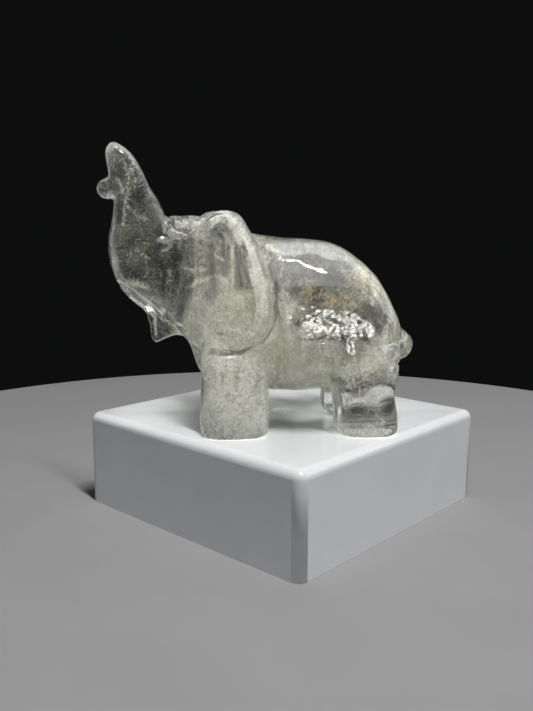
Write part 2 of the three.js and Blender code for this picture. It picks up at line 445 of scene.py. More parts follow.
@dataclass(frozen=True)
class PolishedCrystal:
    """Hand-polished quartz: clear, slightly uneven, and still ground white in the carved lines."""

    index: float = 1.544
    tint: Colour = (0.99, 0.99, 0.945, 1)
    shade: Colour = (0.93, 0.93, 0.92, 1)
    dent_size: float = 0.0040
    dent_depth: float = 0.00016
    scratch_depth: float = 0.00006
    scuffs: float = 1500.0
    wear: float = 420.0
    polish: tuple[float, float] = (0.008, 0.10)
    frost: tuple[float, float] = (0.18, 0.5)

    def material(self) -> bpy.types.Material:
        """The finish as a material.

        Returns:
            The material.
        """
        g = Graph("polished_crystal")
        dents = g.noise(1 / self.dent_size, 2.0, 0.45, 0.4)
        along = g.stretched((1.0, 1.0, 0.5), (0.3, 0.0, 0.0))
        scuffs = g.noise(self.scuffs, 5.0, 0.66, 0.3, along)
        coarse = g.times(scuffs, g.painted("ground"))
        tipped = g.bump(dents, 0.5, self.dent_depth)
        tipped = g.bump(coarse, 0.75, self.scratch_depth, tipped)
        worn = g.levels(g.noise(self.wear, 5.0, 0.65, 0.6), 0.50, 0.74, *self.polish)
        frosted = g.times(g.painted("frost"), g.levels(scuffs, 0.36, 0.6, *self.frost))
        glass = g.surface(
            {
                "Base Color": self.tint,
                "Roughness": g.higher(worn, frosted),
                "IOR": self.index,
                "Transmission Weight": 1.0,
                "Normal": tipped,
            }
        )
        lamp_side = g.add("BsdfTransparent", {"Color": self.shade})
        path = g.add("LightPath")
        both = g.add(
            "MixShader",
            {0: path.outputs["Is Shadow Ray"], 1: glass.outputs[0], 2: lamp_side.outputs[0]},
        )
        g.tree.links.new(both.outputs[0], g.output.inputs["Surface"])
        return g.block


@dataclass(frozen=True)
class MilkyVeil:
    """Clouds of tiny bubbles and healed cracks, dense where the paint attribute is high; that
    attribute also carries painted highlights, which whiten the veil, and painted shade, which
    clears it.
    """

    name: str
    white: Colour = (0.97, 0.965, 0.86, 1)
    grey: Colour = (0.62, 0.63, 0.56, 1)
    ochre: Colour = (0.50, 0.36, 0.17, 1)
    grain: float = 1900.0
    wisp: float = 170.0
    open_at: float = 0.71
    reach: float = 0.36
    softness: float = 0.19
    haze: float = 0.14
    milk: float = 0.36
    thickest: float = 0.82
    facets: float = 0.0022
    spread: float = 0.018
    crack: float = 360.0
    bubble: float = 1500.0
    fleck: float = 950.0

    def clumps(
        self,
        g: Graph,
        milk_and_painted_light: bpy.types.NodeSocket,
        wisps: bpy.types.NodeSocket,
        grain: bpy.types.NodeSocket,
    ) -> bpy.types.NodeSocket:
        """Clumps of grains that close up as the stone gets milkier and where highlights are
        painted.

        Args:
            g: The material's nodes.
            milk_and_painted_light: How milky the stone is.
            wisps: The long clouds.
            grain: The fine grains.

        Returns:
            How much they cover.
        """
        mixed = g.math("ADD", g.times(grain, 0.42), g.times(wisps, 0.58))
        level = g.math("SUBTRACT", self.open_at, g.times(milk_and_painted_light, self.reach))
        over = g.math("SUBTRACT", mixed, level)
        return g.levels(over, -self.softness / 2, self.softness / 2)

    def unhealed(self, g: Graph) -> bpy.types.NodeSocket:
        """Clear lines between the clumps, here and there.

        Args:
            g: The material's nodes.

        Returns:
            1 off the lines, and less along them.
        """
        edges = g.cells(self.crack, "DISTANCE_TO_EDGE", g.warped(420, 0.0042))
        lines = g.levels(edges, 0.0, 0.055, 1.0, 0.0)
        gaps = g.times(lines, g.levels(g.noise(140, 2.0), 0.42, 0.60, 0.0, 0.4))
        return g.math("SUBTRACT", 1.0, gaps)

    def bubbles(self, g: Graph) -> bpy.types.NodeSocket:
        """Single bubbles, strewn in patches.

        Args:
            g: The material's nodes.

        Returns:
            How much they cover.
        """
        round_ones = g.levels(g.cells(self.bubble, "F1"), 0.08, 0.20, 1.0, 0.0)
        strewn = g.times(round_ones, g.levels(g.noise(300, 3.0, 0.6, 0.8), 0.50, 0.58))
        return g.times(strewn, 0.85)

    def film(
        self, g: Graph, milk_and_painted_light: bpy.types.NodeSocket, wisps: bpy.types.NodeSocket
    ) -> bpy.types.NodeSocket:
        """A thin even haze, and the milk between the grains.

        Args:
            g: The material's nodes.
            milk_and_painted_light: How milky the stone is.
            wisps: The long clouds.

        Returns:
            How much they cover.
        """
        patchy = g.levels(g.noise(120, 3.0, 0.55, 0.8), 0.42, 0.62, 0.15, 1.0)
        haze = g.times(g.levels(wisps, 0.38, 0.68, 0.04, self.haze), patchy)
        thick = g.levels(milk_and_painted_light, 0.12, 0.85, 0.0, self.milk)
        return g.higher(haze, g.times(thick, g.levels(wisps, 0.30, 0.58, 0.55, 1.0)))

    def threads(self, g: Graph) -> bpy.types.NodeSocket:
        """Fine bent threads in a few places.

        Args:
            g: The material's nodes.

        Returns:
            How much they cover.
        """
        bent = g.math("SUBTRACT", g.noise(520, 3.0, 0.55, 2.2), 0.5)
        thin = g.levels(g.math("ABSOLUTE", bent), 0.0, 0.016, 1.0, 0.0)
        sparse = g.levels(g.noise(230, 3.0, 0.6), 0.50, 0.60)
        return g.times(thin, g.times(sparse, 0.6))

    def material(self) -> bpy.types.Material:
        """The finish as a material.

        Returns:
            The material.
        """
        g = Graph(self.name)
        # The painted cloud amount: how milky the stone is, with painted highlights and painted
        # shade added.
        milk_and_painted_light = g.painted("cloud")
        leaning = g.stretched((1.0, 1.0, 0.42), (0.3, 0.1, 0.0))
        wisps = g.noise(self.wisp, 5.0, 0.6, 1.4, leaning)
        grain = g.noise(self.grain, 4.0, 0.62, 0.5)
        cover = g.times(self.clumps(g, milk_and_painted_light, wisps, grain), self.unhealed(g))
        cover = g.higher(cover, self.bubbles(g))
        cover = g.higher(cover, self.film(g, milk_and_painted_light, wisps))
        cover = g.higher(cover, self.threads(g))
        patches = g.levels(g.noise(420, 5.0, 0.7, 1.8), 0.51, 0.60)
        rust = g.times(g.painted("stain"), patches)
        cover = g.higher(cover, g.times(rust, 0.9))
        cover = g.times(cover, self.thickest, True)
        flecks = g.levels(g.noise(self.fleck, 4.0, 0.6, 1.2), 0.40, 0.58)
        tone = g.blend(flecks, self.grey, self.white)
        g.surface(
            {
                "Base Color": g.blend(rust, tone, self.ochre),
                "Roughness": 0.5,
                "Subsurface Weight": 1.0,
                "Subsurface Radius": (1.0, 0.98, 0.88),
                "Subsurface Scale": self.spread,
                "Alpha": cover,
                "Normal": g.bump(grain, 1.0, self.facets),
            }
        )
        return g.block


VEIL_NEAR = MilkyVeil("veil_near")
VEIL_MIDDLE = MilkyVeil(
    "veil_middle", grain=1100.0, wisp=150.0, thickest=0.66, haze=0.02, milk=0.2
)
VEIL_DEEP = MilkyVeil(
    "veil_deep", grain=700.0, wisp=120.0, open_at=0.70, haze=0.02, milk=0.45
)


@dataclass(frozen=True)
class SilverCrack:
    """A thin open crack inside the stone, which mirrors light where it is wide enough."""

    name: str
    colour: Colour = (0.98, 0.98, 0.95, 1)
    patch: float = 330.0
    cover: float = 0.52
    metallic: float = 0.6
    ripple: float = 2200.0

    def material(self) -> bpy.types.Material:
        """The finish as a material.

        Returns:
            The material.
        """
        g = Graph(self.name)
        broad = g.noise(self.patch, 5.0, 0.68, 1.6)
        leaning = g.stretched((1.0, 0.42, 1.0), (0.5, 0.0, 0.0))
        ripples = g.noise(self.ripple, 3.0, 0.6, 0.8, leaning)
        cover = g.levels(broad, 1 - self.cover, 1.06 - self.cover)
        cover = g.times(cover, g.painted("cloud"), True)
        g.surface(
            {
                "Base Color": self.colour,
                "Metallic": self.metallic,
                "Roughness": 0.2,
                "Alpha": cover,
                "Normal": g.bump(ripples, 0.5, 0.0004),
            }
        )
        return g.block


@dataclass(frozen=True)
class WhitePlastic:
    """Glossy white polystyrene with faint flow marks, scuffs and a few specks."""

    dull: Colour = (0.715, 0.74, 0.765, 1)
    clean: Colour = (0.765, 0.785, 0.81, 1)
    speck: Colour = (0.16, 0.15, 0.14, 1)
    index: float = 1.59
    polish: tuple[float, float] = (0.13, 0.30)

    def material(self) -> bpy.types.Material:
        """The finish as a material.

        Returns:
            The material.
        """
        g = Graph("white_plastic")
        cloud = g.noise(60, 3.0, 0.5, 0.3)
        shade = g.blend(g.levels(cloud, 0.3, 0.7), self.dull, self.clean)
        dots = g.levels(g.cells(95, "F1"), 0.0, 0.035, 1.0, 0.0)
        rare = g.levels(g.noise(38, 1.0, 0.5), 0.60, 0.63)
        shade = g.blend(g.times(dots, rare), shade, self.speck)
        scuffs = g.noise(900, 6.0, 0.75, 0.0, g.stretched((1.0, 0.12, 1.0), (0.0, 0.0, 0.9)))
        rough = g.levels(scuffs, 0.5, 0.74, *self.polish)
        ripple = g.noise(120, 2.0, 0.4)
        g.surface(
            {
                "Base Color": shade,
                "Roughness": rough,
                "IOR": self.index,
                "Normal": g.bump(ripple, 0.12, 0.0006),
            }
        )
        return g.block


@dataclass(frozen=True)
class PaleCard:
    """The matt card on the shelf."""

    colour: Colour = (0.26, 0.26, 0.27, 1)
    mottle: float = 1.06

    def material(self) -> bpy.types.Material:
        """The finish as a material.

        Returns:
            The material.
        """
        g = Graph("pale_card")
        tone = g.levels(g.noise(40, 4.0, 0.5), 0.3, 0.7)
        paler = tuple(self.mottle * share for share in self.colour)
        g.surface({"Base Color": g.blend(tone, self.colour, paler), "Roughness": 0.8})
        return g.block


# ---------------------------------------------------------------- the elephant's form


@dataclass(frozen=True)
class Section:
    """One section of a limb: its middle, its half sizes and its squareness, in millimetres."""

    y: float
    z: float
    wide: float
    deep: float
    square: float = 2.3
    x: float = 0.0


def limb(sections: list[Section], run: Run, around: int, along: int) -> bmesh.types.BMesh:
    """A smooth closed limb through its sections.

    Args:
        sections: The sections in order.
        run: Which way they follow each other.
        around: Faces round the limb.
        along: Faces along it.

    Returns:
        The limb.
    """
    bm = bmesh.new()
    bmesh.ops.create_cone(bm, cap_ends=True, segments=around, radius1=1, radius2=1, depth=1)
    upright = [e for e in bm.edges if abs(e.verts[0].co.z - e.verts[1].co.z) > 0.5]
    bmesh.ops.subdivide_edges(bm, edges=upright, cuts=along - 1)
    rows = np.array([[s.x, s.y, s.z, s.wide, s.deep, s.square] for s in sections])
    unit = np.array([v.co for v in bm.verts])
    x, y, z, wide, deep, square = spline(rows, np.clip(unit[:, 2] + 0.5, 0, 1)).T
    across = np.sign(unit[:, 0]) * np.abs(unit[:, 0]) ** (2 / square) * wide
    other = np.sign(unit[:, 1]) * np.abs(unit[:, 1]) ** (2 / square) * deep
    if run is Run.UPWARDS:
        placed = np.stack([x + across, y + other, z], 1)
    else:
        placed = np.stack([x + across, y, z + other], 1)
    for vert, co in zip(bm.verts, placed):
        vert.co = co
    bmesh.ops.recalc_face_normals(bm, faces=bm.faces)
    return bm


def ball(middle: Triple, half: Triple) -> bmesh.types.BMesh:
    """An ellipsoid.

    Args:
        middle: Its middle.
        half: Half its size each way.

    Returns:
        The ellipsoid.
    """
    bm = bmesh.new()
    place = Matrix.Translation(middle) @ Matrix.Diagonal((*half, 1))
    bmesh.ops.create_icosphere(bm, subdivisions=4, radius=1, matrix=place)
    return bm


def slab(outline: np.ndarray, thickness: float, rounding: float) -> bmesh.types.BMesh:
    """A plate with rounded edges whose outline lies in the upright plane along the elephant.

    Args:
        outline: Rows of y and z, in order round the edge.
        thickness: Its thickness, centred on the middle plane.
        rounding: The radius of its edges.

    Returns:
        The plate.
    """
    bm = bmesh.new()
    bmesh.ops.create_circle(bm, cap_ends=True, segments=len(outline), radius=1)
    for vert, (y, z) in zip(bm.verts, outline):
        vert.co = (-thickness / 2, y, z)
    made = bmesh.ops.extrude_face_region(bm, geom=bm.faces[:])
    top = [v for v in made["geom"] if isinstance(v, bmesh.types.BMVert)]
    bmesh.ops.translate(bm, verts=top, vec=(thickness, 0, 0))
    rims = [e for e in bm.edges if abs(e.verts[0].co.x - e.verts[1].co.x) < 1e-6]
    bmesh.ops.bevel(
        bm, geom=rims, offset=rounding, segments=4, profile=0.5, affect="EDGES", material=-1
    )
    bmesh.ops.recalc_face_normals(bm, faces=bm.faces)
    return bm


def tube(points: np.ndarray, radius: np.ndarray, around: int = 16) -> bmesh.types.BMesh:
    """A round bar that follows a curve.

    Args:
        points: Rows of x, y and z along the curve.
        radius: The bar's radius at each of them.
        around: Faces round the bar.

    Returns:
        The bar.
    """
    bm = bmesh.new()
    made = bmesh.ops.create_circle(bm, cap_ends=True, segments=around, radius=1)
    ring = made["verts"]
    face = ring[0].link_faces[0]
    ways = np.gradient(points, axis=0)
    for i, (middle, way, r) in enumerate(zip(points, ways, radius)):
        if i:
            made = bmesh.ops.extrude_discrete_faces(bm, faces=[face])
            face = made["faces"][0]
            ring = face.verts[:]
        turn = Vector(way).to_track_quat("Z", "Y").to_matrix()
        for k, vert in enumerate(ring):
            angle = 2 * math.pi * k / around
            vert.co = Vector(middle) + turn @ Vector((math.cos(angle) * r, math.sin(angle) * r, 0))
    bmesh.ops.recalc_face_normals(bm, faces=bm.faces)
    return bm


@dataclass
class Proportions:
    """The carving's main sizes: lengths from its middle to the rear, heights above the soles."""

    rump_end: float = 30.0
    withers: float = -10.5
    brow: float = -29.6
    face_front: float = -44.5
    belly: float = 9.3
    back: float = 47.8
    crown: float = 53.1
    head_drop: float = 26.5
    trunk_rise: float = 17.5
    barrel_half: float = 18.6
    skull_half: float = 8.9
    cheek_half: float = 7.1
    trunk_half: float = 5.7
    stance: float = 10.9
    foot_half: float = 6.6
    front_leg_at: float = -13.5
    front_leg_half: float = 8.5
    rear_leg_at: float = 19.6
    rear_leg_half: float = 8.05
    leg_square: float = 3.6

    @property
    def head_depth(self) -> float:
        """Face front to brow."""
        return self.brow - self.face_front

    def barrel(
        self, along: float, top: float, under: float, wide: float, square: float = 2.3
    ) -> Section:
        """A section of the barrel.

        Args:
            along: Its place, as a share of the way from the rump to the withers.
            top: Its top, as a share of the barrel's depth.
            under: Its underside, likewise.
            wide: Its half width, as a share of the barrel's.
            square: Its squareness.

        Returns:
            The section.
        """
        depth = self.back - self.belly
        return self.upright(
            self.rump_end + along * (self.withers - self.rump_end),
            self.belly + top * depth,
            self.belly + under * depth,
            wide * self.barrel_half,
            square,
        )

    def upright(
        self, y: float, top: float, under: float, wide: float, square: float = 2.3
    ) -> Section:
        """An upright section from its top, its underside and its half width."""
        return Section(y, (top + under) / 2, wide, (top - under) / 2, square)

    def skull(
        self, y: float, drop: float, under: float, wide: float, square: float = 2.3
    ) -> Section:
        """An upright section of the skull.

        Args:
            y: Its place along the elephant.
            drop: Its top, below the crown, as a share of the head's drop.
            under: Its underside, likewise.
            wide: Its half width, as a share of the skull's.
            square: Its squareness.

        Returns:
            The section.
        """
        return self.upright(
            y,
            self.crown - drop * self.head_drop,
            self.crown - under * self.head_drop,
            wide * self.skull_half,
            square,
        )

    def level(
        self, z: float, set_back: float, depth: float, wide: float, square: float = 2.3
    ) -> Section:
        """A level section of the face or trunk, from its front edge and depth."""
        middle = self.face_front + (set_back + depth / 2) * self.head_depth
        return Section(middle, z, wide, depth * self.head_depth / 2, square)


@dataclass
class EarForm:
    """One ear: a raised flap that stands out from the neck towards the rear."""

    at: float = -19.6
    far_shift: float = -2.2
    foot: float = 21.9
    height: float = 32.3
    width: float = 19.6
    thickness: float = 6.0
    front_half: float = 12.4
    splay: float = math.radians(22)
    edge: tuple[tuple[float, float], ...] = (
        (-0.05, 0.03),
        (0.306, -0.006),
        (0.689, 0.009),
        (0.939, 0.13),
        (1.0, 0.325),
        (0.908, 0.573),
        (0.745, 0.817),
        (0.561, 0.972),
        (0.357, 1.0),
        (0.153, 0.926),
        (0.051, 0.802),
        (0.082, 0.464),
        (-0.061, 0.248),
    )

    def outline(self, count: int = 78) -> np.ndarray:
        """The ear's edge as rows of distance behind its front edge and height."""
        corners = np.array(self.edge) * (self.width, self.height) + (0, self.foot)
        return spline(corners, np.arange(count) / count, closed=True)

    def shift(self, side: Side) -> float:
        """Where the ear's front edge is along the elephant."""
        return self.at + (self.far_shift if side is Side.RIGHT else 0.0)

    def build(self, side: Side) -> bmesh.types.BMesh:
        """The flap in place.

        Args:
            side: Left or right.

        Returns:
            The flap.
        """
        bm = slab(self.outline(), self.thickness, 1.3)
        out = side.value * (self.front_half - self.thickness / 2)
        turn = Matrix.Rotation(-side.value * self.splay, 4, "Z")
        place = Matrix.Translation((0, self.shift(side), 0)) @ turn
        place = place @ Matrix.Translation((out, 0, 0))
        bmesh.ops.transform(bm, matrix=place, verts=bm.verts)
        return bm

    def unfolded(self, points: np.ndarray, side: Side) -> np.ndarray:
        """Places as the ear itself has them.

        Args:
            points: The places in the carving.
            side: Left or right.

        Returns:
            Rows of height over the ear's face, distance behind its front edge, and height.
        """
        c, s = math.cos(self.splay), math.sin(self.splay)
        out = side.value * points[:, 0]
        back = points[:, 1] - self.shift(side)
        over = out * c - back * s - self.front_half
        return np.stack([over, out * s + back * c, points[:, 2]], 1)

    def face_way(self, side: Side) -> np.ndarray:
        """The way the ear's face looks."""
        return np.array([side.value * math.cos(self.splay), -math.sin(self.splay), 0])


@dataclass(frozen=True)
class Stroke:
    """One cut or ridge of the carver's tool, drawn on the elephant's side."""

    line: tuple[tuple[float, float], ...]
    width: float
    height: float
    out: tuple[float, float] = (0.0, 30.0)
    far_share: float = 0.45

    def lift(self, points: np.ndarray) -> np.ndarray:
        """How far the tool moves the surface.

        Args:
            points: The surface's points.

        Returns:
            For each point, how far it moves along its normal.
        """
        away = np.abs(points[:, 0])
        weight = np.where(points[:, 0] > 0, 1.0, self.far_share)
        near = distance_to_line(points[:, 1:], np.array(self.line))
        inside = step_up(away, self.out[0] - 0.8, self.out[0] + 0.8)
        inside *= 1 - step_up(away, self.out[1] - 0.8, self.out[1] + 0.8)
        return self.height * bell(near, self.width) * inside * weight


EYE = (-30.7, 46.7)
EYE_RADIUS = 1.55
EYE_RING = tuple(
    (EYE[0] + EYE_RADIUS * math.cos(angle), EYE[1] + EYE_RADIUS * math.sin(angle))
    for angle in np.linspace(0, 2 * math.pi, 25)
)

HEAD_STROKES = (
    Stroke(EYE_RING, 0.40, -0.36),
    Stroke((EYE, EYE), 0.8, 0.06),
    Stroke(((-32.0, 48.2), (-34.4, 45.4), (-36.0, 42.6)), 0.4, -0.15),
    Stroke(((-31.0, 44.9), (-33.2, 43.4), (-36.0, 42.4)), 0.4, -0.15),
    Stroke(((-36.6, 40.6), (-33.0, 40.3), (-28.0, 40.4), (-23.0, 40.9)), 0.45, -0.2),
    Stroke(((-29.4, 53.3), (-33.4, 52.6), (-36.8, 51.0), (-37.8, 48.6)), 1.5, 0.25),
    Stroke(((-29.2, 52.0), (-28.2, 49.8), (-26.2, 48.0), (-23.4, 48.8)), 0.6, -0.30),
    Stroke(((-27.0, 47.0), (-27.3, 44.4), (-24.6, 43.8), (-23.6, 46.8)), 0.5, -0.15),
    Stroke(((-41.6, 36.4), (-37.8, 34.4), (-34.2, 31.4), (-32.6, 28.6)), 0.6, -0.5),
    Stroke(((-38.6, 33.4), (-35.4, 31.0), (-34.0, 27.4)), 0.8, 0.4),
    Stroke(((-30.4, 29.5), (-27.6, 26.0), (-25.4, 25.6)), 0.7, -0.35),
    Stroke(((-45.5, 47.2), (-43.0, 47.4)), 0.35, -0.25),
    Stroke(((-45.5, 48.7), (-43.0, 48.9)), 0.35, -0.22),
    Stroke(((-45.5, 50.3), (-42.6, 50.5)), 0.35, -0.25),
    Stroke(((-45.5, 45.5), (-43.4, 45.6)), 0.35, -0.20),
    Stroke(((-37.4, 58.2), (-34.8, 59.4)), 0.3, -0.10),
    Stroke(((-38.4, 61.6), (-35.8, 62.8)), 0.3, -0.10),
    Stroke(((-42.2, 56.9), (-40.0, 58.6)), 0.6, -0.4),
)

BODY_STROKES = (
    Stroke(((14.0, 17.3), (18.0, 18.4), (22.0, 18.3), (26.6, 18.2)), 0.5, -0.5, (6.0, 30.0)),
    Stroke(((5.0, 13.6), (9.4, 15.6), (14.0, 17.3)), 0.7, -0.4, (8.0, 30.0)),
    Stroke(
        ((-12.6, 22.6), (-8.3, 22.9), (-4.2, 22.3), (-3.8, 16.0), (-4.0, 9.6)),
        0.6,
        -0.5,
        (8.0, 30.0),
    ),
    Stroke(((-20.6, 14.2), (-14.0, 13.4), (-6.0, 14.8)), 0.9, -0.25, (8.0, 30.0)),
    Stroke(((27.1, 23.2), (26.2, 23.2), (23.4, 17.7), (24.3, 17.0), (26.2, 18.2)), 0.5, -0.8),
    Stroke(((25.2, 18.6), (27.5, 19.6), (28.6, 21.8), (27.4, 23.0)), 0.5, -0.7),
    Stroke(((12.0, 11.5), (10.4, 17.5), (12.0, 24.0), (17.5, 28.6)), 1.6, -0.35, (10.0, 30.0)),
)


# Creases on the ear: a line of distance and height, its width, and how far it stands out.
EAR_CREASES = (
    (((9.0, 46.5), (9.1, 40.0), (9.0, 33.0)), 0.45, -0.55),
    (((9.2, 30.6), (12.4, 25.8)), 0.5, 0.5),
    (((5.6, 29.4), (8.2, 24.6)), 0.5, 0.4),
    (((1.0, 35.8), (4.6, 38.2), (9.0, 38.8)), 0.8, -0.6),
    (((3.8, 47.0), (3.6, 43.0), (4.6, 39.6)), 0.6, -0.5),
    (((2.0, 24.4), (8.0, 23.9), (13.0, 24.4)), 0.45, -0.35),
)

# Lower places of the skin are pressed flat as soles.
SOLE_SNAP = 0.12


@dataclass(frozen=True)
class Cloud:
    """A soft-edged part of the stone, seen from the elephant's side, that is this milky."""

    middle: tuple[float, float]
    half: tuple[float, float]
    amount: float
    left_only: bool = True

    def mixed_into(self, amount: np.ndarray, points: np.ndarray) -> np.ndarray:
        """Brings the amounts near this part to its own amount.

        Args:
            amount: How milky the stone was at each place.
            points: The places.

        Returns:
            How milky it is with this part.
        """
        y = (points[:, 1] - self.middle[0]) / self.half[0]
        z = (points[:, 2] - self.middle[1]) / self.half[1]
        share = np.exp(-((y * y + z * z) ** 2))
        if self.left_only:
            share *= step_up(points[:, 0], -1.0, 3.0)
        return amount + (self.amount - amount) * share


CLOUDS = (
    Cloud((2.0, 45.0), (22.0, 6.5), 0.30, False),
    Cloud((22.0, 33.0), (7.0, 13.0), 0.66, False),
    Cloud((0.0, 19.0), (18.0, 9.0), 0.80, False),
    Cloud((-6.5, 34.0), (5.0, 12.0), 0.46, False),
    Cloud((7.5, 35.6), (7.5, 4.4), 0.0, False),
    Cloud((15.5, 34.6), (4.0, 3.0), 0.26),
    Cloud((0.0, 38.6), (4.0, 3.0), 0.30),
    Cloud((19.6, 29.0), (3.0, 3.6), 0.10),
    Cloud((11.0, 26.8), (10.0, 5.4), 0.0),
    Cloud((-15.0, 28.0), (9.0, 11.0), 0.76, False),
    Cloud((-15.0, 46.0), (8.0, 8.0), 0.62, False),
    Cloud((-16.4, 46.0), (2.4, 5.5), 0.14),
    Cloud((-11.5, 41.0), (1.8, 5.5), 0.12),
    Cloud((-18.6, 40.0), (1.8, 8.0), 0.26),
    Cloud((-13.5, 9.0), (10.5, 12.0), 0.84, False),
    Cloud((19.0, 7.5), (10.0, 10.0), 0.62),
    Cloud((17.0, 13.4), (8.0, 5.0), 0.84),
    Cloud((19.0, 7.5), (10.0, 8.0), 0.14, False),
    Cloud((28.6, 21.0), (4.6, 5.4), 0.36, False),
    Cloud((-37.0, 42.0), (14.5, 26.0), 0.10, False),
    Cloud((-40.8, 58.5), (3.0, 3.6), 0.40),
    Cloud((-38.6, 36.2), (4.0, 2.2), 0.42),
    Cloud((-38.0, 52.0), (3.0, 4.0), 0.28),
    Cloud((-37.5, 63.0), (1.6, 4.0), 0.36),
)


@dataclass(frozen=True)
class PaintedLightLine:
    """A line of painted light, seen from the elephant's left: a positive change is a painted
    highlight that whitens the veil, a negative one is painted shade that clears it.
    """

    line: tuple[tuple[float, float], ...]
    width: float
    change: float

    def change_at(self, points: np.ndarray) -> np.ndarray:
        """How much the painted highlight whitens the stone at each place; a negative amount is
        painted shade.

        Args:
            points: The places.

        Returns:
            What is added to how milky it is.
        """
        near = distance_to_line(points[:, 1:], np.array(self.line))
        return self.change * bell(near, self.width) * step_up(points[:, 0], 0.5, 3.0)


# Painted highlights along carved edges and creases: the trunk's back and tip, the brow, the ear,
# the legs, the haunch and belly lines, the tail's curl and the rear soles. The negative lines are
# painted shade, behind the front leg's raised edge and low on the ear.
PAINTED_LIGHT_LINES = (
    PaintedLightLine(((-40.6, 68.9), (-38.6, 67.2), (-36.8, 64.6), (-35.6, 62.4)), 0.3, 0.8),
    PaintedLightLine(((-41.4, 61.4), (-40.2, 60.2), (-40.2, 58.4)), 0.6, 0.4),
    PaintedLightLine(((-38.6, 55.0), (-36.6, 52.8), (-34.0, 52.0)), 0.35, 0.3),
    PaintedLightLine(((-30.2, 51.2), (-28.8, 49.6), (-26.9, 48.9), (-24.9, 48.4)), 0.22, 0.6),
    PaintedLightLine(((-36.8, 47.0), (-36.2, 44.0), (-33.6, 42.6)), 0.5, 0.22),
    PaintedLightLine(((-41.3, 36.9), (-37.1, 36.7), (-33.6, 35.0)), 0.6, 0.34),
    PaintedLightLine(((-41.0, 34.6), (-36.5, 31.3), (-32.9, 27.9), (-32.9, 23.6)), 0.4, 0.7),
    PaintedLightLine(((-27.0, 40.6), (-23.6, 40.2), (-20.3, 40.5)), 0.4, 0.3),
    PaintedLightLine(((-24.4, 35.9), (-22.0, 37.5), (-17.9, 39.2), (-15.5, 37.5)), 0.6, 0.5),
    PaintedLightLine(((-13.9, 46.4), (-13.7, 39.2), (-14.1, 32.8)), 0.32, 0.8),
    PaintedLightLine(((-13.0, 34.4), (-9.2, 34.6)), 0.35, 0.5),
    PaintedLightLine(((-16.8, 30.3), (-14.8, 27.1), (-11.9, 25.8)), 0.4, 0.5),
    PaintedLightLine(((-21.7, 27.9), (-18.4, 24.6), (-14.8, 23.8)), 0.4, 0.5),
    PaintedLightLine(((-18.6, 47.0), (-17.0, 45.4), (-18.2, 44.0), (-15.8, 42.6)), 0.4, 0.5),
    PaintedLightLine(((-15.2, 31.6), (-12.2, 30.4), (-10.0, 31.2)), 0.9, -0.3),
    PaintedLightLine(((-12.6, 22.2), (-8.3, 22.0), (-5.2, 21.2), (-5.2, 11.3), (-5.3, 1.1)), 0.4, 0.4),
    PaintedLightLine(((-3.4, 22.0), (-3.2, 14.0), (-3.4, 9.0)), 0.7, -0.5),
    PaintedLightLine(((-21.4, 16.3), (-20.6, 11.3), (-21.0, 2.8)), 0.4, 0.4),
    PaintedLightLine(
        ((24.2, 17.3), (25.4, 19.6), (27.6, 22.6), (29.2, 22.6), (29.8, 20.8), (26.6, 18.0)),
        0.45,
        0.9,
    ),
    PaintedLightLine(((5.6, 14.4), (12.0, 17.2), (18.0, 19.1), (26.0, 18.9)), 0.4, 0.4),
    PaintedLightLine(((11.0, 13.0), (11.4, 7.5), (11.9, 1.6)), 0.5, 0.5),
    PaintedLightLine(((16.2, 12.6), (16.4, 3.4)), 0.25, 0.4),
    PaintedLightLine(((12.4, 1.4), (22.6, 1.4)), 0.7, 0.9),
    PaintedLightLine(((-2.0, 12.2), (4.0, 10.6), (9.6, 11.4)), 0.7, 0.3),
)


STAIN_LINE = ((3.0, 35.2), (9.0, 33.6), (14.0, 34.6), (18.0, 37.6), (24.0, 39.4))
STAIN_WIDTH = 2.5


@dataclass(frozen=True)
class Crack:
    """Where an open crack lies, how big it is and how much of it mirrors."""

    name: str
    middle: Triple
    half: tuple[float, float]
    seed: float
    cover: float = 0.52


CRACKS = (
    Crack("crack_middle", (11.5, 9.5, 27.2), (8.6, 4.2), 1.7, 0.54),
    Crack("crack_front", (10.0, 3.4, 29.4), (4.8, 3.0), 5.1, 0.50),
    Crack("crack_rear", (12.5, 15.6, 26.6), (4.4, 3.4), 8.4, 0.56),
    Crack("crack_low", (10.5, 6.0, 22.4), (9.0, 3.0), 12.6, 0.46),
    Crack("crack_upright", (14.4, 14.2, 23.6), (1.1, 4.6), 15.2, 0.56),
)


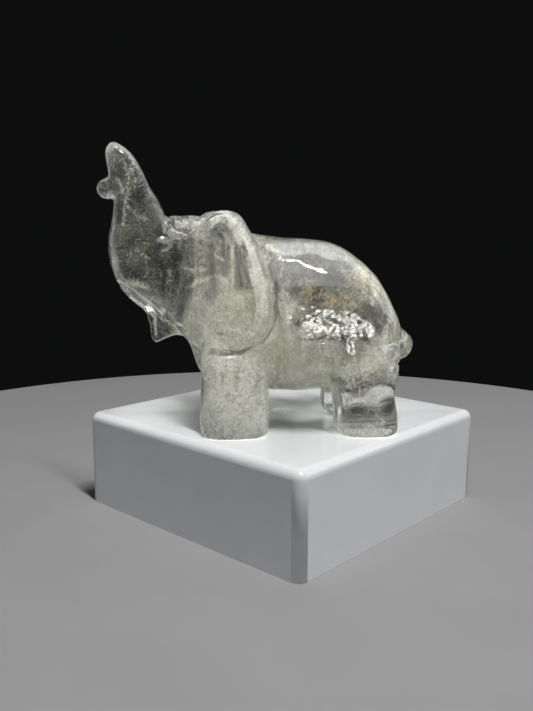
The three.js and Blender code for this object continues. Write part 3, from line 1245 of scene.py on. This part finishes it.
@dataclass
class CrystalElephant:
    """The carved stone: its clear skin, and the veils, cracks and stain inside it."""

    size: Proportions = field(default_factory=Proportions)
    ear: EarForm = field(default_factory=EarForm)
    voxel: float = 0.415
    evening: int = 8
    turn: float = math.radians(1.65)
    gap: float = 0.03
    head_ends: float = -21.5

    # ------------------------------------------------ forms

    def torso(self, inset: float = 0.0) -> bmesh.types.BMesh:
        """Barrel, neck and skull, from the rump forwards.

        Args:
            inset: How far the form is set inside the surface.

        Returns:
            The form.
        """
        p = self.size
        depth = p.back - p.belly

        def neck(share: float) -> float:
            """A place between the withers and the brow."""
            return p.withers + share * (p.brow - p.withers)

        sections = [
            p.barrel(0.0, 0.387, 0.2, 0.247, 2.0),
            p.barrel(0.064, 0.543, 0.127, 0.58, 2.1),
            p.barrel(0.163, 0.717, 0.104, 0.828),
            p.barrel(0.281, 0.855, 0.068, 0.946),
            p.barrel(0.42, 0.953, 0.026, 0.973),
            p.barrel(0.593, 0.992, 0, 1),
            p.barrel(0.815, 1.005, 0, 0.935),
            p.barrel(1, 1.036, 0.016, 0.785),
            p.upright(neck(0.314), p.crown - 1.2, p.belly + 0.042 * depth, 0.645 * p.barrel_half),
            p.upright(neck(0.576), p.crown, p.belly + 0.109 * depth, 1.18 * p.skull_half),
            p.skull(neck(0.785), 0, 1.147, 1),
            p.skull(p.brow, 0.023, 1.049, 0.854),
            p.skull(p.brow - 0.295 * p.head_depth, 0.245, 0.823, 0.596, 2.0),
            p.skull(p.brow - 0.403 * p.head_depth, 0.415, 0.634, 0.225, 2.0),
        ]
        if inset:
            sections = [
                Section(s.y, s.z, max(s.wide - inset, 0.6), max(s.deep - inset, 0.6), s.square)
                for s in sections[1:-3]
            ]
        return limb(sections, Run.FORWARDS, 64, 60)

    def face_and_trunk(self) -> bmesh.types.BMesh:
        """The face and the raised trunk, from the mouth upwards.

        Returns:
            The form.
        """
        p = self.size

        def face(drop: float, set_back: float, depth: float, wide: float) -> Section:
            """A section of the face, this share of the head's drop below the crown."""
            return p.level(p.crown - drop * p.head_drop, set_back, depth, wide * p.cheek_half)

        def trunk(
            rise: float, set_back: float, depth: float, wide: float, square: float
        ) -> Section:
            """A section of the trunk, this share of its rise above the crown."""
            height = p.crown + rise * p.trunk_rise
            return p.level(height, set_back, depth, wide * p.trunk_half, square)

        sections = [
            face(1, 0.685, 0.477, 0.45),
            face(0.894, 0.611, 0.765, 0.69),
            face(0.811, 0.43, 1.107, 0.86),
            face(0.698, 0.221, 1.383, 0.97),
            face(0.54, 0.074, 1.53, 1.03),
            face(0.358, 0.007, 1.49, 1),
            face(0.192, 0.013, 1.215, 0.93),
            trunk(-0.051, 0.087, 0.899, 1, 2.6),
            trunk(0.166, 0.128, 0.745, 0.895, 3.0),
            trunk(0.383, 0.094, 0.631, 0.772, 3.0),
            trunk(0.634, 0.04, 0.544, 0.684, 3.0),
            trunk(0.817, 0, 0.45, 0.561, 2.8),
            trunk(0.926, 0.027, 0.289, 0.421, 2.4),
            trunk(1, 0.087, 0.087, 0.175, 2.0),
        ]
        return limb(sections, Run.UPWARDS, 48, 70)

    def trunk_finger(self) -> list[bmesh.types.BMesh]:
        """The lower finger of the trunk's tip.

        Returns:
            Its forms.
        """
        p = self.size
        height = p.crown + 0.354 * p.trunk_rise
        return [
            ball((0, p.face_front + 0.2, height), (p.trunk_half - 2.2, 2.55, 2.45)),
            ball((0, p.face_front + 2.4, height + 0.6), (p.trunk_half - 2.0, 3.4, 3.0)),
        ]

    def jaw(self) -> bmesh.types.BMesh:
        """The pointed lower jaw under the face.

        Returns:
            The form.
        """
        p = self.size
        tip = p.face_front + 0.765 * p.head_depth
        mouth = p.crown - p.head_drop
        outline = np.array(
            [
                (-1.4, 4.4),
                (-1.3, 0.4),
                (-1.1, -3.4),
                (0.2, -5.1),
                (2.2, -4.2),
                (5.6, -3.0),
                (9.6, -4.0),
                (11.0, 0.4),
                (9.0, 5.4),
                (3.0, 6.4),
            ]
        )
        edge = spline(outline + (tip, mouth), np.arange(48) / 48, closed=True)
        return slab(edge, p.cheek_half, 0.8)

    def leg(
        self, side: Side, at: float, half: float, rows: list[tuple[float, ...]], inset: float
    ) -> bmesh.types.BMesh:
        """One leg with its flat sole.

        Args:
            side: Left or right.
            at: The leg's middle along the elephant.
            half: Half its length along the elephant.
            rows: Height, shift, growth, inward move and widening of each section.
            inset: How far the form is set inside the surface.

        Returns:
            The leg.
        """
        p = self.size
        sections = [
            Section(
                at + shift,
                z + (inset if i == 0 else 0),
                p.foot_half + wider - inset,
                half + grow - inset,
                p.leg_square,
                side.value * (p.stance - inward),
            )
            for i, (z, shift, grow, inward, wider) in enumerate(rows)
        ]
        return limb(sections, Run.UPWARDS, 48, 28)

    def front_leg(self, side: Side, inset: float = 0.0) -> bmesh.types.BMesh:
        """A front leg.

        Args:
            side: Left or right.
            inset: How far the form is set inside the surface.

        Returns:
            The form.
        """
        p = self.size
        rows = [
            (0, 0, -1.0, 0, -1.0),
            (1.3, 0, -0.1, 0, 0),
            (p.belly - 3.4, 0, 0, 0, 0),
            (p.belly + 3.6, 0.4, -0.5, 0.4, -0.3),
            (p.belly + 9.6, 0.2, 0.2, 1.8, 0.1),
            (p.belly + 15.6, 0, -1.0, 4.4, 0.2),
        ]
        return self.leg(side, p.front_leg_at, p.front_leg_half, rows, inset)

    def rear_leg(self, side: Side, inset: float = 0.0) -> bmesh.types.BMesh:
        """A rear leg.

        Args:
            side: Left or right.
            inset: How far the form is set inside the surface.

        Returns:
            The form.
        """
        p = self.size
        rows = [
            (0, -0.2, -1.3, 0, -1.0),
            (1.3, -0.4, -0.4, 0, 0),
            (p.belly - 4.0, -0.7, -0.4, 0, -0.1),
            (p.belly + 1.2, -1.4, -0.3, 0.1, -0.2),
            (p.belly + 6.6, -1.8, 0.9, 0.1, 0.0),
            (p.belly + 13.0, -2.6, 1.2, 0.7, 0.4),
        ]
        return self.leg(side, p.rear_leg_at, p.rear_leg_half, rows, inset)

    def haunch(self, side: Side, inset: float = 0.0) -> bmesh.types.BMesh:
        """The thigh that overhangs a rear leg.

        Args:
            side: Left or right.
            inset: How far the form is set inside the surface.

        Returns:
            The form.
        """
        p = self.size
        return ball(
            (side.value * 0.4 * p.barrel_half, p.rear_leg_at - 4.2, p.belly + 15.2),
            (0.56 * p.barrel_half - inset, 11.9 - inset, 10.2 - inset),
        )

    def tail(self) -> list[bmesh.types.BMesh]:
        """The tail's root and its curl against the left of the rump.

        Returns:
            Its forms.
        """
        p = self.size
        height = p.belly + 0.3 * (p.back - p.belly)
        curl = np.array(
            [
                (0.0, -0.2, 0.4),
                (4.0, -1.2, 1.7),
                (8.0, -3.6, 0.6),
                (10.8, -5.4, -2.4),
                (11.8, -6.6, -3.8),
            ]
        )
        steps = np.linspace(0, 1, 24)
        way = spline(curl, steps) + (0, p.rump_end, height)
        radius = np.interp(steps, (0, 0.35, 0.75, 1), (2.4, 2.5, 1.8, 0.7))
        return [
            ball((0, p.rump_end - 0.8, height - 0.5), (4.6, 4.2, 4.0)),
            ball((0, p.rump_end - 4.0, height + 3.6), (5.6, 3.3, 5.0)),
            tube(way, radius),
        ]

    # ------------------------------------------------ carving

    def carved(self, mesh: bpy.types.Mesh) -> None:
        """Cuts the eyes, mouth, ears and folds, and leaves the surface slightly uneven.

        Args:
            mesh: The smooth skin, which is changed in place.
        """
        points, normals = read_points(mesh)
        lift = np.zeros(len(points))
        head = points[:, 1] < self.head_ends
        for strokes, part in ((HEAD_STROKES, head), (BODY_STROKES, ~head)):
            for stroke in strokes:
                lift[part] += stroke.lift(points[part])
        lift += 0.20 * noise_at(points, 7.0, 3.1) + 0.09 * noise_at(points, 3.2, 8.3)
        points += normals * lift[:, None]
        for side in Side:
            points += self.ear_cut(points, side)
        points[:, 2] = np.where(points[:, 2] < SOLE_SNAP, 0.0, points[:, 2])
        write_points(mesh, points)

    def ear_edge(self, local: np.ndarray) -> tuple[np.ndarray, np.ndarray]:
        """The ear's outline, and how far unfolded points are from it."""
        outline = self.ear.outline(120)
        return outline, distance_to_line(local[:, 1:], np.vstack([outline, outline[:1]]))

    def ear_cut(self, points: np.ndarray, side: Side) -> np.ndarray:
        """The border lines, dish and creases of one ear.

        Args:
            points: The skin's points.
            side: Which ear.

        Returns:
            How each point moves.
        """
        ear = self.ear
        local = ear.unfolded(points, side)
        outline, near = self.ear_edge(local)
        on_face = step_up(local[:, 0], -2.2, -0.6) * (points[:, 0] * side.value > 3)
        inside = on_face * (local[:, 1] > -2) * (local[:, 1] < ear.width + 2)
        inside *= (local[:, 2] > ear.foot - 2) * (local[:, 2] < ear.foot + ear.height + 2)
        rear = step_up(local[:, 1], 3.5, 7.0)
        cut = -0.55 * bell(near - 1.35, 0.38) * rear
        cut += 0.22 * bell(near - 2.2, 0.5) * rear
        cut += -0.60 * bell(near - 3.2, 0.38) * rear
        cut += -0.55 * step_up(near, 3.2, 5.2)
        for line, width, height in EAR_CREASES:
            cut += height * bell(distance_to_line(local[:, 1:], np.array(line)), width)
        beside = (points[:, 0] * side.value > 3) * (local[:, 1] > 6) * (local[:, 2] > ear.foot - 3)
        beyond = beside * (1 - step_up(local[:, 0], -3.0, -1.2)) * step_up(local[:, 0], -9.0, -6.0)
        moat = -0.9 * bell(near - 0.9, 0.8) * beyond * self.outside(local, outline)
        return (cut * inside + moat)[:, None] * ear.face_way(side)

    def outside(self, local: np.ndarray, outline: np.ndarray) -> np.ndarray:
        """Which unfolded points lie beyond the ear's edge, seen square to its face.

        Args:
            local: The unfolded points.
            outline: The ear's outline.

        Returns:
            1 for each point beyond the edge, and 0 for the others.
        """
        middle = outline.mean(0)
        ways = outline - middle
        angles = np.arctan2(ways[:, 1], ways[:, 0])
        order = np.argsort(angles)
        flat = local[:, 1:] - middle
        reach = np.interp(
            np.arctan2(flat[:, 1], flat[:, 0]),
            angles[order],
            np.hypot(*ways[order].T),
            period=2 * math.pi,
        )
        return (np.hypot(*flat.T) > reach).astype(float)

    # ------------------------------------------------ meshes

    def place(self, skin: bpy.types.Mesh) -> Matrix:
        """The way from the carving's own millimetres to its place on the plinth, in metres.

        Args:
            skin: The carved surface.

        Returns:
            The move, turn and scale.
        """
        low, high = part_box("crystal_elephant")
        turn = Matrix.Rotation(self.turn, 4, "Z")
        points, _ = read_points(skin)
        turned = points @ np.array(turn.to_3x3()).T * MM
        middle = (turned.min(0) + turned.max(0)) / 2
        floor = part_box("display_plinth")[1].z + self.gap * MM
        over = (low + high) / 2
        move = Vector((over.x - middle[0], over.y - middle[1], floor))
        return Matrix.Translation(move) @ turn @ Matrix.Scale(MM, 4)

    def skin(self) -> bpy.types.Mesh:
        """The whole carved surface.

        Returns:
            Its mesh, in the carving's own millimetres.
        """
        parts = [self.torso(), self.face_and_trunk(), *self.trunk_finger(), self.jaw()]
        parts += self.tail()
        for side in Side:
            parts += [self.front_leg(side), self.rear_leg(side), self.haunch(side)]
            parts.append(self.ear.build(side))
        mesh = fused(parts, self.voxel)
        smoothed(mesh, self.evening)
        self.carved(mesh)
        smoothed(mesh, 1, 0.4)
        points, _ = read_points(mesh)
        self.paint(mesh, "frost", self.frost_amount(points))
        self.paint(mesh, "ground", self.ground_amount(points))
        return mesh

    def frost_amount(self, points: np.ndarray) -> np.ndarray:
        """How far the polish is missing: the carved lines stayed ground.

        Args:
            points: The skin's points.

        Returns:
            One amount for each point, from 0 to 1.
        """
        frost = np.zeros(len(points))
        for stroke in HEAD_STROKES + BODY_STROKES:
            if stroke.height < 0:
                near = distance_to_line(points[:, 1:], np.array(stroke.line))
                rough = bell(near, 0.7 * stroke.width) * min(1.0, -2.2 * stroke.height)
                frost = np.maximum(frost, rough)
        for side in Side:
            local = self.ear.unfolded(points, side)
            _, near = self.ear_edge(local)
            on_face = step_up(local[:, 0], -2.2, -0.6) * (points[:, 0] * side.value > 3)
            rear = step_up(local[:, 1], 3.5, 7.0)
            lines = np.maximum(0.7 * bell(near - 1.35, 0.4), bell(near - 3.2, 0.45)) * rear
            frost = np.maximum(frost, lines * on_face)
        return frost

    def ground_amount(self, points: np.ndarray) -> np.ndarray:
        """How coarse the wheel's marks are: strong on the ears, front legs and belly.

        Args:
            points: The skin's points.

        Returns:
            One amount for each point, from 0 to 1.
        """
        y, z = points[:, 1], points[:, 2]
        coarse = 0.12 + 0.88 * step_up(y, -24.0, -20.0) * (1 - step_up(y, -4.0, 2.0))
        coarse = np.maximum(coarse, 0.7 * (1 - step_up(z, 16.0, 27.0)) * (y < 12) * (y > -24))
        return coarse * (1 - 0.75 * step_up(z, 46.0, 52.0))

    def cloud_and_painted_light_amount(self, points: np.ndarray, fine: bool = False) -> np.ndarray:
        """How milky the stone is at each place, with painted highlights and painted shade along the
        ears' edges added, and along the listed lines when fine is set.

        Args:
            points: The places.
            fine: Whether the painted highlight and shade lines near the surface are wanted too.

        Returns:
            One amount for each place, from 0 to 1.
        """
        amount = np.full(len(points), 0.5)
        for cloud in CLOUDS:
            amount = cloud.mixed_into(amount, points)
        for side in Side:
            local = self.ear.unfolded(points, side)
            outline, near = self.ear_edge(local)
            beyond = self.outside(local, outline)
            face = (points[:, 0] * side.value > 3) * step_up(local[:, 1], 4.0, 7.0)
            # Painted highlight: the veil is whitened along the ridge inside each ear's edge.
            painted_rim_highlight = bell(near - 2.2, 0.9) * (1 - beyond) * step_up(local[:, 0], -3.2, -1.6)
            amount += 0.30 * painted_rim_highlight * face
            # Painted shade: the veil is cleared in the groove just outside each ear's edge.
            amount -= 0.55 * bell(near - 0.7, 0.9) * beyond * face * (local[:, 0] > -9)
            if fine:
                # Painted highlight just inside the ear's edge, and painted shade along its inner
                # groove.
                lines = 0.5 * bell(near - 1.2, 0.35) - 0.5 * bell(near - 3.5, 0.5)
                amount += lines * (1 - beyond) * face * step_up(local[:, 0], -3.2, -1.6)
        if fine:
            # Painted highlights and painted shade along the listed lines.
            amount += sum(light_line.change_at(points) for light_line in PAINTED_LIGHT_LINES)
        return np.clip(amount, 0, 1)

    def stain_amount(self, points: np.ndarray) -> np.ndarray:
        """How much iron has seeped in at each place: a band across the left of the rump."""
        band = distance_to_line(points[:, 1:], np.array(STAIN_LINE))
        return bell(band, STAIN_WIDTH) * step_up(points[:, 0], 2.0, 6.0)

    def cloud_shell(
        self, skin: bpy.types.Mesh, depth: float, cells: float, contrast: float, fine: bool
    ) -> bpy.types.Mesh:
        """A closed sheet a little way inside the skin, painted with how milky the stone is there
        and with painted highlights and painted shade.

        Args:
            skin: The carved surface.
            depth: How far in the sheet lies.
            cells: The size of its faces.
            contrast: How strongly the thin parts of the cloud are thinned further.
            fine: Whether it is painted with the highlight and shade lines near the surface too.

        Returns:
            The sheet's mesh.
        """
        bm = bmesh.new()
        bm.from_mesh(skin)
        mesh = fused([bm], cells)
        smoothed(mesh, 2)
        steps = 4
        for _ in range(steps):
            points, normals = read_points(mesh)
            write_points(mesh, points - normals * depth / steps)
            smoothed(mesh, 1)
        points, _ = read_points(mesh)
        # The cloud attribute holds the milkiness together with the painted highlights and painted
        # shade.
        self.paint(mesh, "cloud", self.cloud_and_painted_light_amount(points, fine) ** contrast)
        self.paint(mesh, "stain", self.stain_amount(points))
        return mesh

    def core(self, depth: float) -> bpy.types.Mesh:
        """The deep part of the cloud: barrel and legs set well inside the skin.

        Args:
            depth: How far in it lies.

        Returns:
            Its mesh, painted with how milky the stone is there and with painted highlights and
            painted shade along the ears' edges.
        """
        parts = [self.torso(depth)]
        for side in Side:
            parts += [self.front_leg(side, depth - 1), self.haunch(side, depth)]
        mesh = fused(parts, 1.2)
        smoothed(mesh, 4)
        points, normals = read_points(mesh)
        write_points(mesh, points + normals * (1.3 * noise_at(points, 8.0, 5.0))[:, None])
        self.paint(mesh, "cloud", self.cloud_and_painted_light_amount(read_points(mesh)[0]) ** 1.5)
        return mesh

    def fracture(self, crack: Crack) -> bpy.types.Mesh:
        """A crumpled sheet for an open crack, sloping down towards the elephant's left.

        Args:
            crack: Where it lies, how big it is and which crumple it gets.

        Returns:
            The sheet's mesh, painted so that it fades out towards its edges.
        """
        middle, half, seed = crack.middle, crack.half, crack.seed
        bm = bmesh.new()
        bmesh.ops.create_grid(
            bm, x_segments=round(half[0] * 9), y_segments=round(half[1] * 10), size=1
        )
        flat = np.array([v.co[:2] for v in bm.verts])
        y = flat[:, 0] * half[0]
        fall = flat[:, 1] * half[1]
        spots = np.stack([fall, y, np.full(len(y), seed)], 1)
        rise = 1.3 * noise_at(spots, 5.0, seed) + 0.5 * noise_at(spots, 1.7, seed + 4)
        rise += 0.26 * noise_at(spots * (1, 0.6, 1), 0.40, seed + 9)
        level, steep = 0.62, 0.78
        x = middle[0] - level * fall + steep * rise
        z = middle[2] + steep * fall + level * rise
        for vert, co in zip(bm.verts, np.stack([x, middle[1] + y, z], 1)):
            vert.co = co
        bmesh.ops.triangulate(bm, faces=bm.faces)
        mesh = bpy.data.meshes.new("fracture")
        bm.to_mesh(mesh)
        bm.free()
        edge = 1 - np.maximum(np.abs(flat[:, 0]) ** 2, np.abs(flat[:, 1]) ** 2)
        ragged = step_up(edge + 0.5 * noise_at(spots, 2.2, seed + 2), 0.1, 0.6)
        self.paint(mesh, "cloud", ragged)
        return mesh

    def paint(self, mesh: bpy.types.Mesh, name: str, amount: np.ndarray) -> None:
        """Stores one number on each of a mesh's vertices."""
        layer = mesh.attributes.new(name, "FLOAT", "POINT")
        layer.data.foreach_set("value", amount.astype(np.float32))

    def build(self) -> None:
        """Makes every piece of the elephant."""
        skin = self.skin()
        pieces = {
            # Each veil shell carries how milky the stone is, with painted highlights and painted
            # shade along the ears' edges; the near one also has the painted light lines.
            "cloud_near_skin_and_painted_light": (self.cloud_shell(skin, 0.8, 0.5, 1.0, True), VEIL_NEAR),
            "cloud_middle_and_painted_light": (self.cloud_shell(skin, 2.4, 0.95, 1.8, False), VEIL_MIDDLE),
            "cloud_deep_and_painted_light": (self.core(5.0), VEIL_DEEP),
        }
        for crack in CRACKS:
            silver = SilverCrack(crack.name + "_silver", cover=crack.cover)
            pieces[crack.name] = (self.fracture(crack), silver)
        place = self.place(skin)
        skin.transform(place)
        stone = finished_piece("crystal_skin", skin, PolishedCrystal().material())
        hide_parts("crystal_elephant")
        made = [stone]
        for name, (mesh, finish) in pieces.items():
            mesh.transform(place)
            smooth = isinstance(finish, MilkyVeil)
            made.append(finished_piece(name, mesh, finish.material(), smooth))
        for piece in made:
            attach(piece, "figurine")
            report(piece)


# ---------------------------------------------------------------- plinth


@dataclass
class Plinth:
    """The hollow moulded plinth, open underneath."""

    side: float = 76.2 * MM
    height: float = 25.4 * MM
    wall: float = 2.0 * MM
    edge: float = 2.3 * MM
    corner: float = 2.5 * MM
    margin: float = 0.12 * MM
    gate: float = 3.3 * MM
    dish: tuple[tuple[float, float], ...] = (
        (3.15 * MM, 0.04 * MM),
        (3.0 * MM, 0.16 * MM),
        (2.6 * MM, 0.30 * MM),
        (1.1 * MM, 0.35 * MM),
        (0.7 * MM, 0.33 * MM),
        (0.6 * MM, 0.10 * MM),
        (0.45 * MM, 0.04 * MM),
    )
    turn: float = math.radians(45)

    def build(self) -> None:
        """Makes the moulding."""
        bm = bmesh.new()
        bmesh.ops.create_cube(bm, size=1)
        bmesh.ops.scale(bm, vec=(self.side, self.side, self.height), verts=bm.verts)
        bmesh.ops.translate(bm, vec=(0, 0, self.height / 2), verts=bm.verts)
        upright = [e for e in bm.edges if abs(e.verts[0].co.z - e.verts[1].co.z) > MM]
        self.round_off(bm, upright, self.corner)
        under = min(bm.faces, key=lambda f: f.calc_center_median().z)
        bmesh.ops.delete(bm, geom=[under], context="FACES_ONLY")
        top = max(bm.faces, key=lambda f: f.calc_center_median().z)
        self.round_off(bm, top.edges[:], self.edge)
        flats = sorted(bm.faces, key=lambda f: f.calc_area())[-5:]
        bmesh.ops.inset_individual(bm, faces=flats, thickness=self.margin, use_even_offset=True)
        bmesh.ops.recalc_face_normals(bm, faces=bm.faces)
        bmesh.ops.solidify(bm, geom=bm.faces[:], thickness=self.wall)
        broad = sorted(bm.faces, key=lambda f: f.calc_area())[-2:]
        self.sink_gate(bm, max(broad, key=lambda f: f.calc_center_median().z))
        middle = sum(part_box("display_plinth"), Vector()) / 2
        place = Matrix.Translation((middle.x, middle.y, 0)) @ Matrix.Rotation(self.turn, 4, "Z")
        bmesh.ops.transform(bm, matrix=place, verts=bm.verts)
        mesh = bpy.data.meshes.new("plinth_moulding")
        bm.to_mesh(mesh)
        bm.free()
        piece = finished_piece("plinth_moulding", mesh, WhitePlastic().material())
        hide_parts("display_plinth")
        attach(piece, "plinth")
        report(piece)

    def round_off(
        self, bm: bmesh.types.BMesh, edges: list[bmesh.types.BMEdge], radius: float
    ) -> None:
        """Rounds some edges.

        Args:
            bm: The moulding.
            edges: The edges.
            radius: Their new radius.
        """
        bmesh.ops.bevel(
            bm,
            geom=edges,
            offset=radius,
            segments=10,
            profile=0.5,
            affect="EDGES",
            material=-1,
        )

    def sink_gate(self, bm: bmesh.types.BMesh, top: bmesh.types.BMFace) -> None:
        """Sinks the moulding mark's shallow dish, with its pip, into the middle of the top.

        Args:
            bm: The moulding.
            top: The flat face on its top.
        """
        loop = top.edges[:]
        bmesh.ops.delete(bm, geom=[top], context="FACES_ONLY")
        for radius, depth in ((self.gate, 0.0), *self.dish):
            made = bmesh.ops.extrude_edge_only(bm, edges=loop)["geom"]
            ring = [v for v in made if isinstance(v, bmesh.types.BMVert)]
            loop = [e for e in made if isinstance(e, bmesh.types.BMEdge) and len(e.link_faces) == 1]
            ring.sort(key=lambda v: math.atan2(v.co.y, v.co.x))
            for k, vert in enumerate(ring):
                angle = 2 * math.pi * (k + 0.5) / len(ring) - math.pi
                vert.co = (math.cos(angle) * radius, math.sin(angle) * radius, self.height - depth)
        bmesh.ops.holes_fill(bm, edges=loop, sides=0)


# ---------------------------------------------------------------- studio


@dataclass
class Studio:
    """The card floor, the soft lights and the camera."""

    floor_radius: float = 0.185
    camera_at: Triple = (0.2054, -0.01475, 0.0771)
    azimuth: float = math.radians(-2.75)
    elevation: float = math.radians(9.98)
    roll: float = math.radians(0.35)
    lens: float = 38.47

    def floor(self) -> None:
        """Lays the pale card."""
        bm = bmesh.new()
        bmesh.ops.create_cone(
            bm,
            cap_ends=True,
            segments=96,
            radius1=self.floor_radius,
            radius2=self.floor_radius,
            depth=0.004,
            matrix=Matrix.Translation((0, 0, -0.002)),
        )
        mesh = bpy.data.meshes.new("floor_card")
        bm.to_mesh(mesh)
        bm.free()
        card = bpy.data.objects.new("floor_card", mesh)
        mesh.materials.append(PaleCard().material())
        bpy.context.scene.collection.objects.link(card)

    def lamp(
        self,
        name: str,
        at: Triple,
        aim: Triple,
        size: tuple[float, float],
        power: float,
        colour: Triple,
        spin: float = 0.0,
    ) -> None:
        """Hangs one soft rectangular lamp.

        Args:
            name: Its name.
            at: Where it hangs.
            aim: The point it faces.
            size: Its width and height.
            power: Its strength in watts.
            colour: Its colour.
            spin: How far it is turned about the way it shines.
        """
        data = bpy.data.lights.new(name, "AREA")
        data.shape = "RECTANGLE"
        data.size, data.size_y = size
        data.energy = power
        data.color = colour
        lamp = bpy.data.objects.new(name, data)
        lamp.location = at
        way = (Vector(aim) - Vector(at)).to_track_quat("-Z", "Y").to_matrix()
        lamp.rotation_euler = (way @ Matrix.Rotation(spin, 3, "Z")).to_euler()
        bpy.context.scene.collection.objects.link(lamp)

    def lamps(self) -> None:
        """Hangs all the lamps."""
        middle = (0.01, 0.0, 0.05)
        self.lamp(
            "overhead",
            (0.24, 0.10, 0.665),
            middle,
            (0.016, 0.26),
            5.4,
            (1.0, 0.99, 0.97),
            math.radians(15),
        )
        self.lamp("left_window", (-0.12, -0.36, 0.22), middle, (0.2, 0.2), 0.08, (0.95, 0.98, 1.0))
        self.lamp("right_window", (-0.04, 0.44, 0.24), middle, (0.2, 0.2), 0.17, (1.0, 0.99, 0.97))

    def room(self) -> None:
        """Makes a dark room, whose pale ceiling and walls show in gloss and through the stone."""
        g = Graph("dim_room", is_world=True)
        way = g.add("TexCoord").outputs["Generated"]
        parts = g.add("SeparateXYZ", {0: way})
        ceiling = g.levels(parts.outputs["Z"], 0.12, 0.80, 0.0, 0.75)
        walls = g.levels(g.math("ABSOLUTE", parts.outputs["Y"]), 0.40, 0.90, 0.0, 0.6)
        panes = g.levels(g.noise(2.3, 2.0, 0.5, 0.0, way), 0.44, 0.56, 0.3, 1.0)
        pale = g.math("MULTIPLY", g.math("ADD", ceiling, walls), panes)
        path = g.add("LightPath")
        gloss = g.math("MULTIPLY", path.outputs["Is Glossy Ray"], 0.45)
        mirrored = g.math("MAXIMUM", gloss, path.outputs["Is Transmission Ray"])
        strength = g.math("ADD", g.math("MULTIPLY", pale, mirrored), 0.0045)
        back = g.add("Background", {"Color": (0.97, 1.0, 1.0, 1), "Strength": strength})
        g.tree.links.new(back.outputs[0], g.output.inputs["Surface"])
        bpy.context.scene.world = g.block
        bpy.context.scene.view_settings.view_transform = "Standard"

    def camera(self) -> None:
        """Sets up the camera."""
        data = bpy.data.cameras.new("camera")
        data.lens = self.lens
        data.clip_start = 0.01
        camera = bpy.data.objects.new("camera", data)
        back = Vector(
            (
                math.cos(self.elevation) * math.cos(self.azimuth),
                math.cos(self.elevation) * math.sin(self.azimuth),
                math.sin(self.elevation),
            )
        )
        right = Vector((0, 0, 1)).cross(back).normalized()
        up = back.cross(right)
        c, s = math.cos(self.roll), math.sin(self.roll)
        axes = (c * right + s * up, c * up - s * right, back)
        turn = Matrix(axes).transposed().to_4x4()
        camera.matrix_world = Matrix.Translation(self.camera_at) @ turn
        bpy.context.scene.collection.objects.link(camera)
        bpy.context.scene.camera = camera

    def build(self) -> None:
        """Makes the whole studio."""
        self.camera()
        self.floor()
        self.lamps()
        self.room()


def main() -> None:
    """Builds the studio, the plinth and the elephant."""
    logging.basicConfig(level=logging.INFO, format="%(message)s")
    Studio().build()
    Plinth().build()
    CrystalElephant().build()


if __name__ == "__main__":
    main()
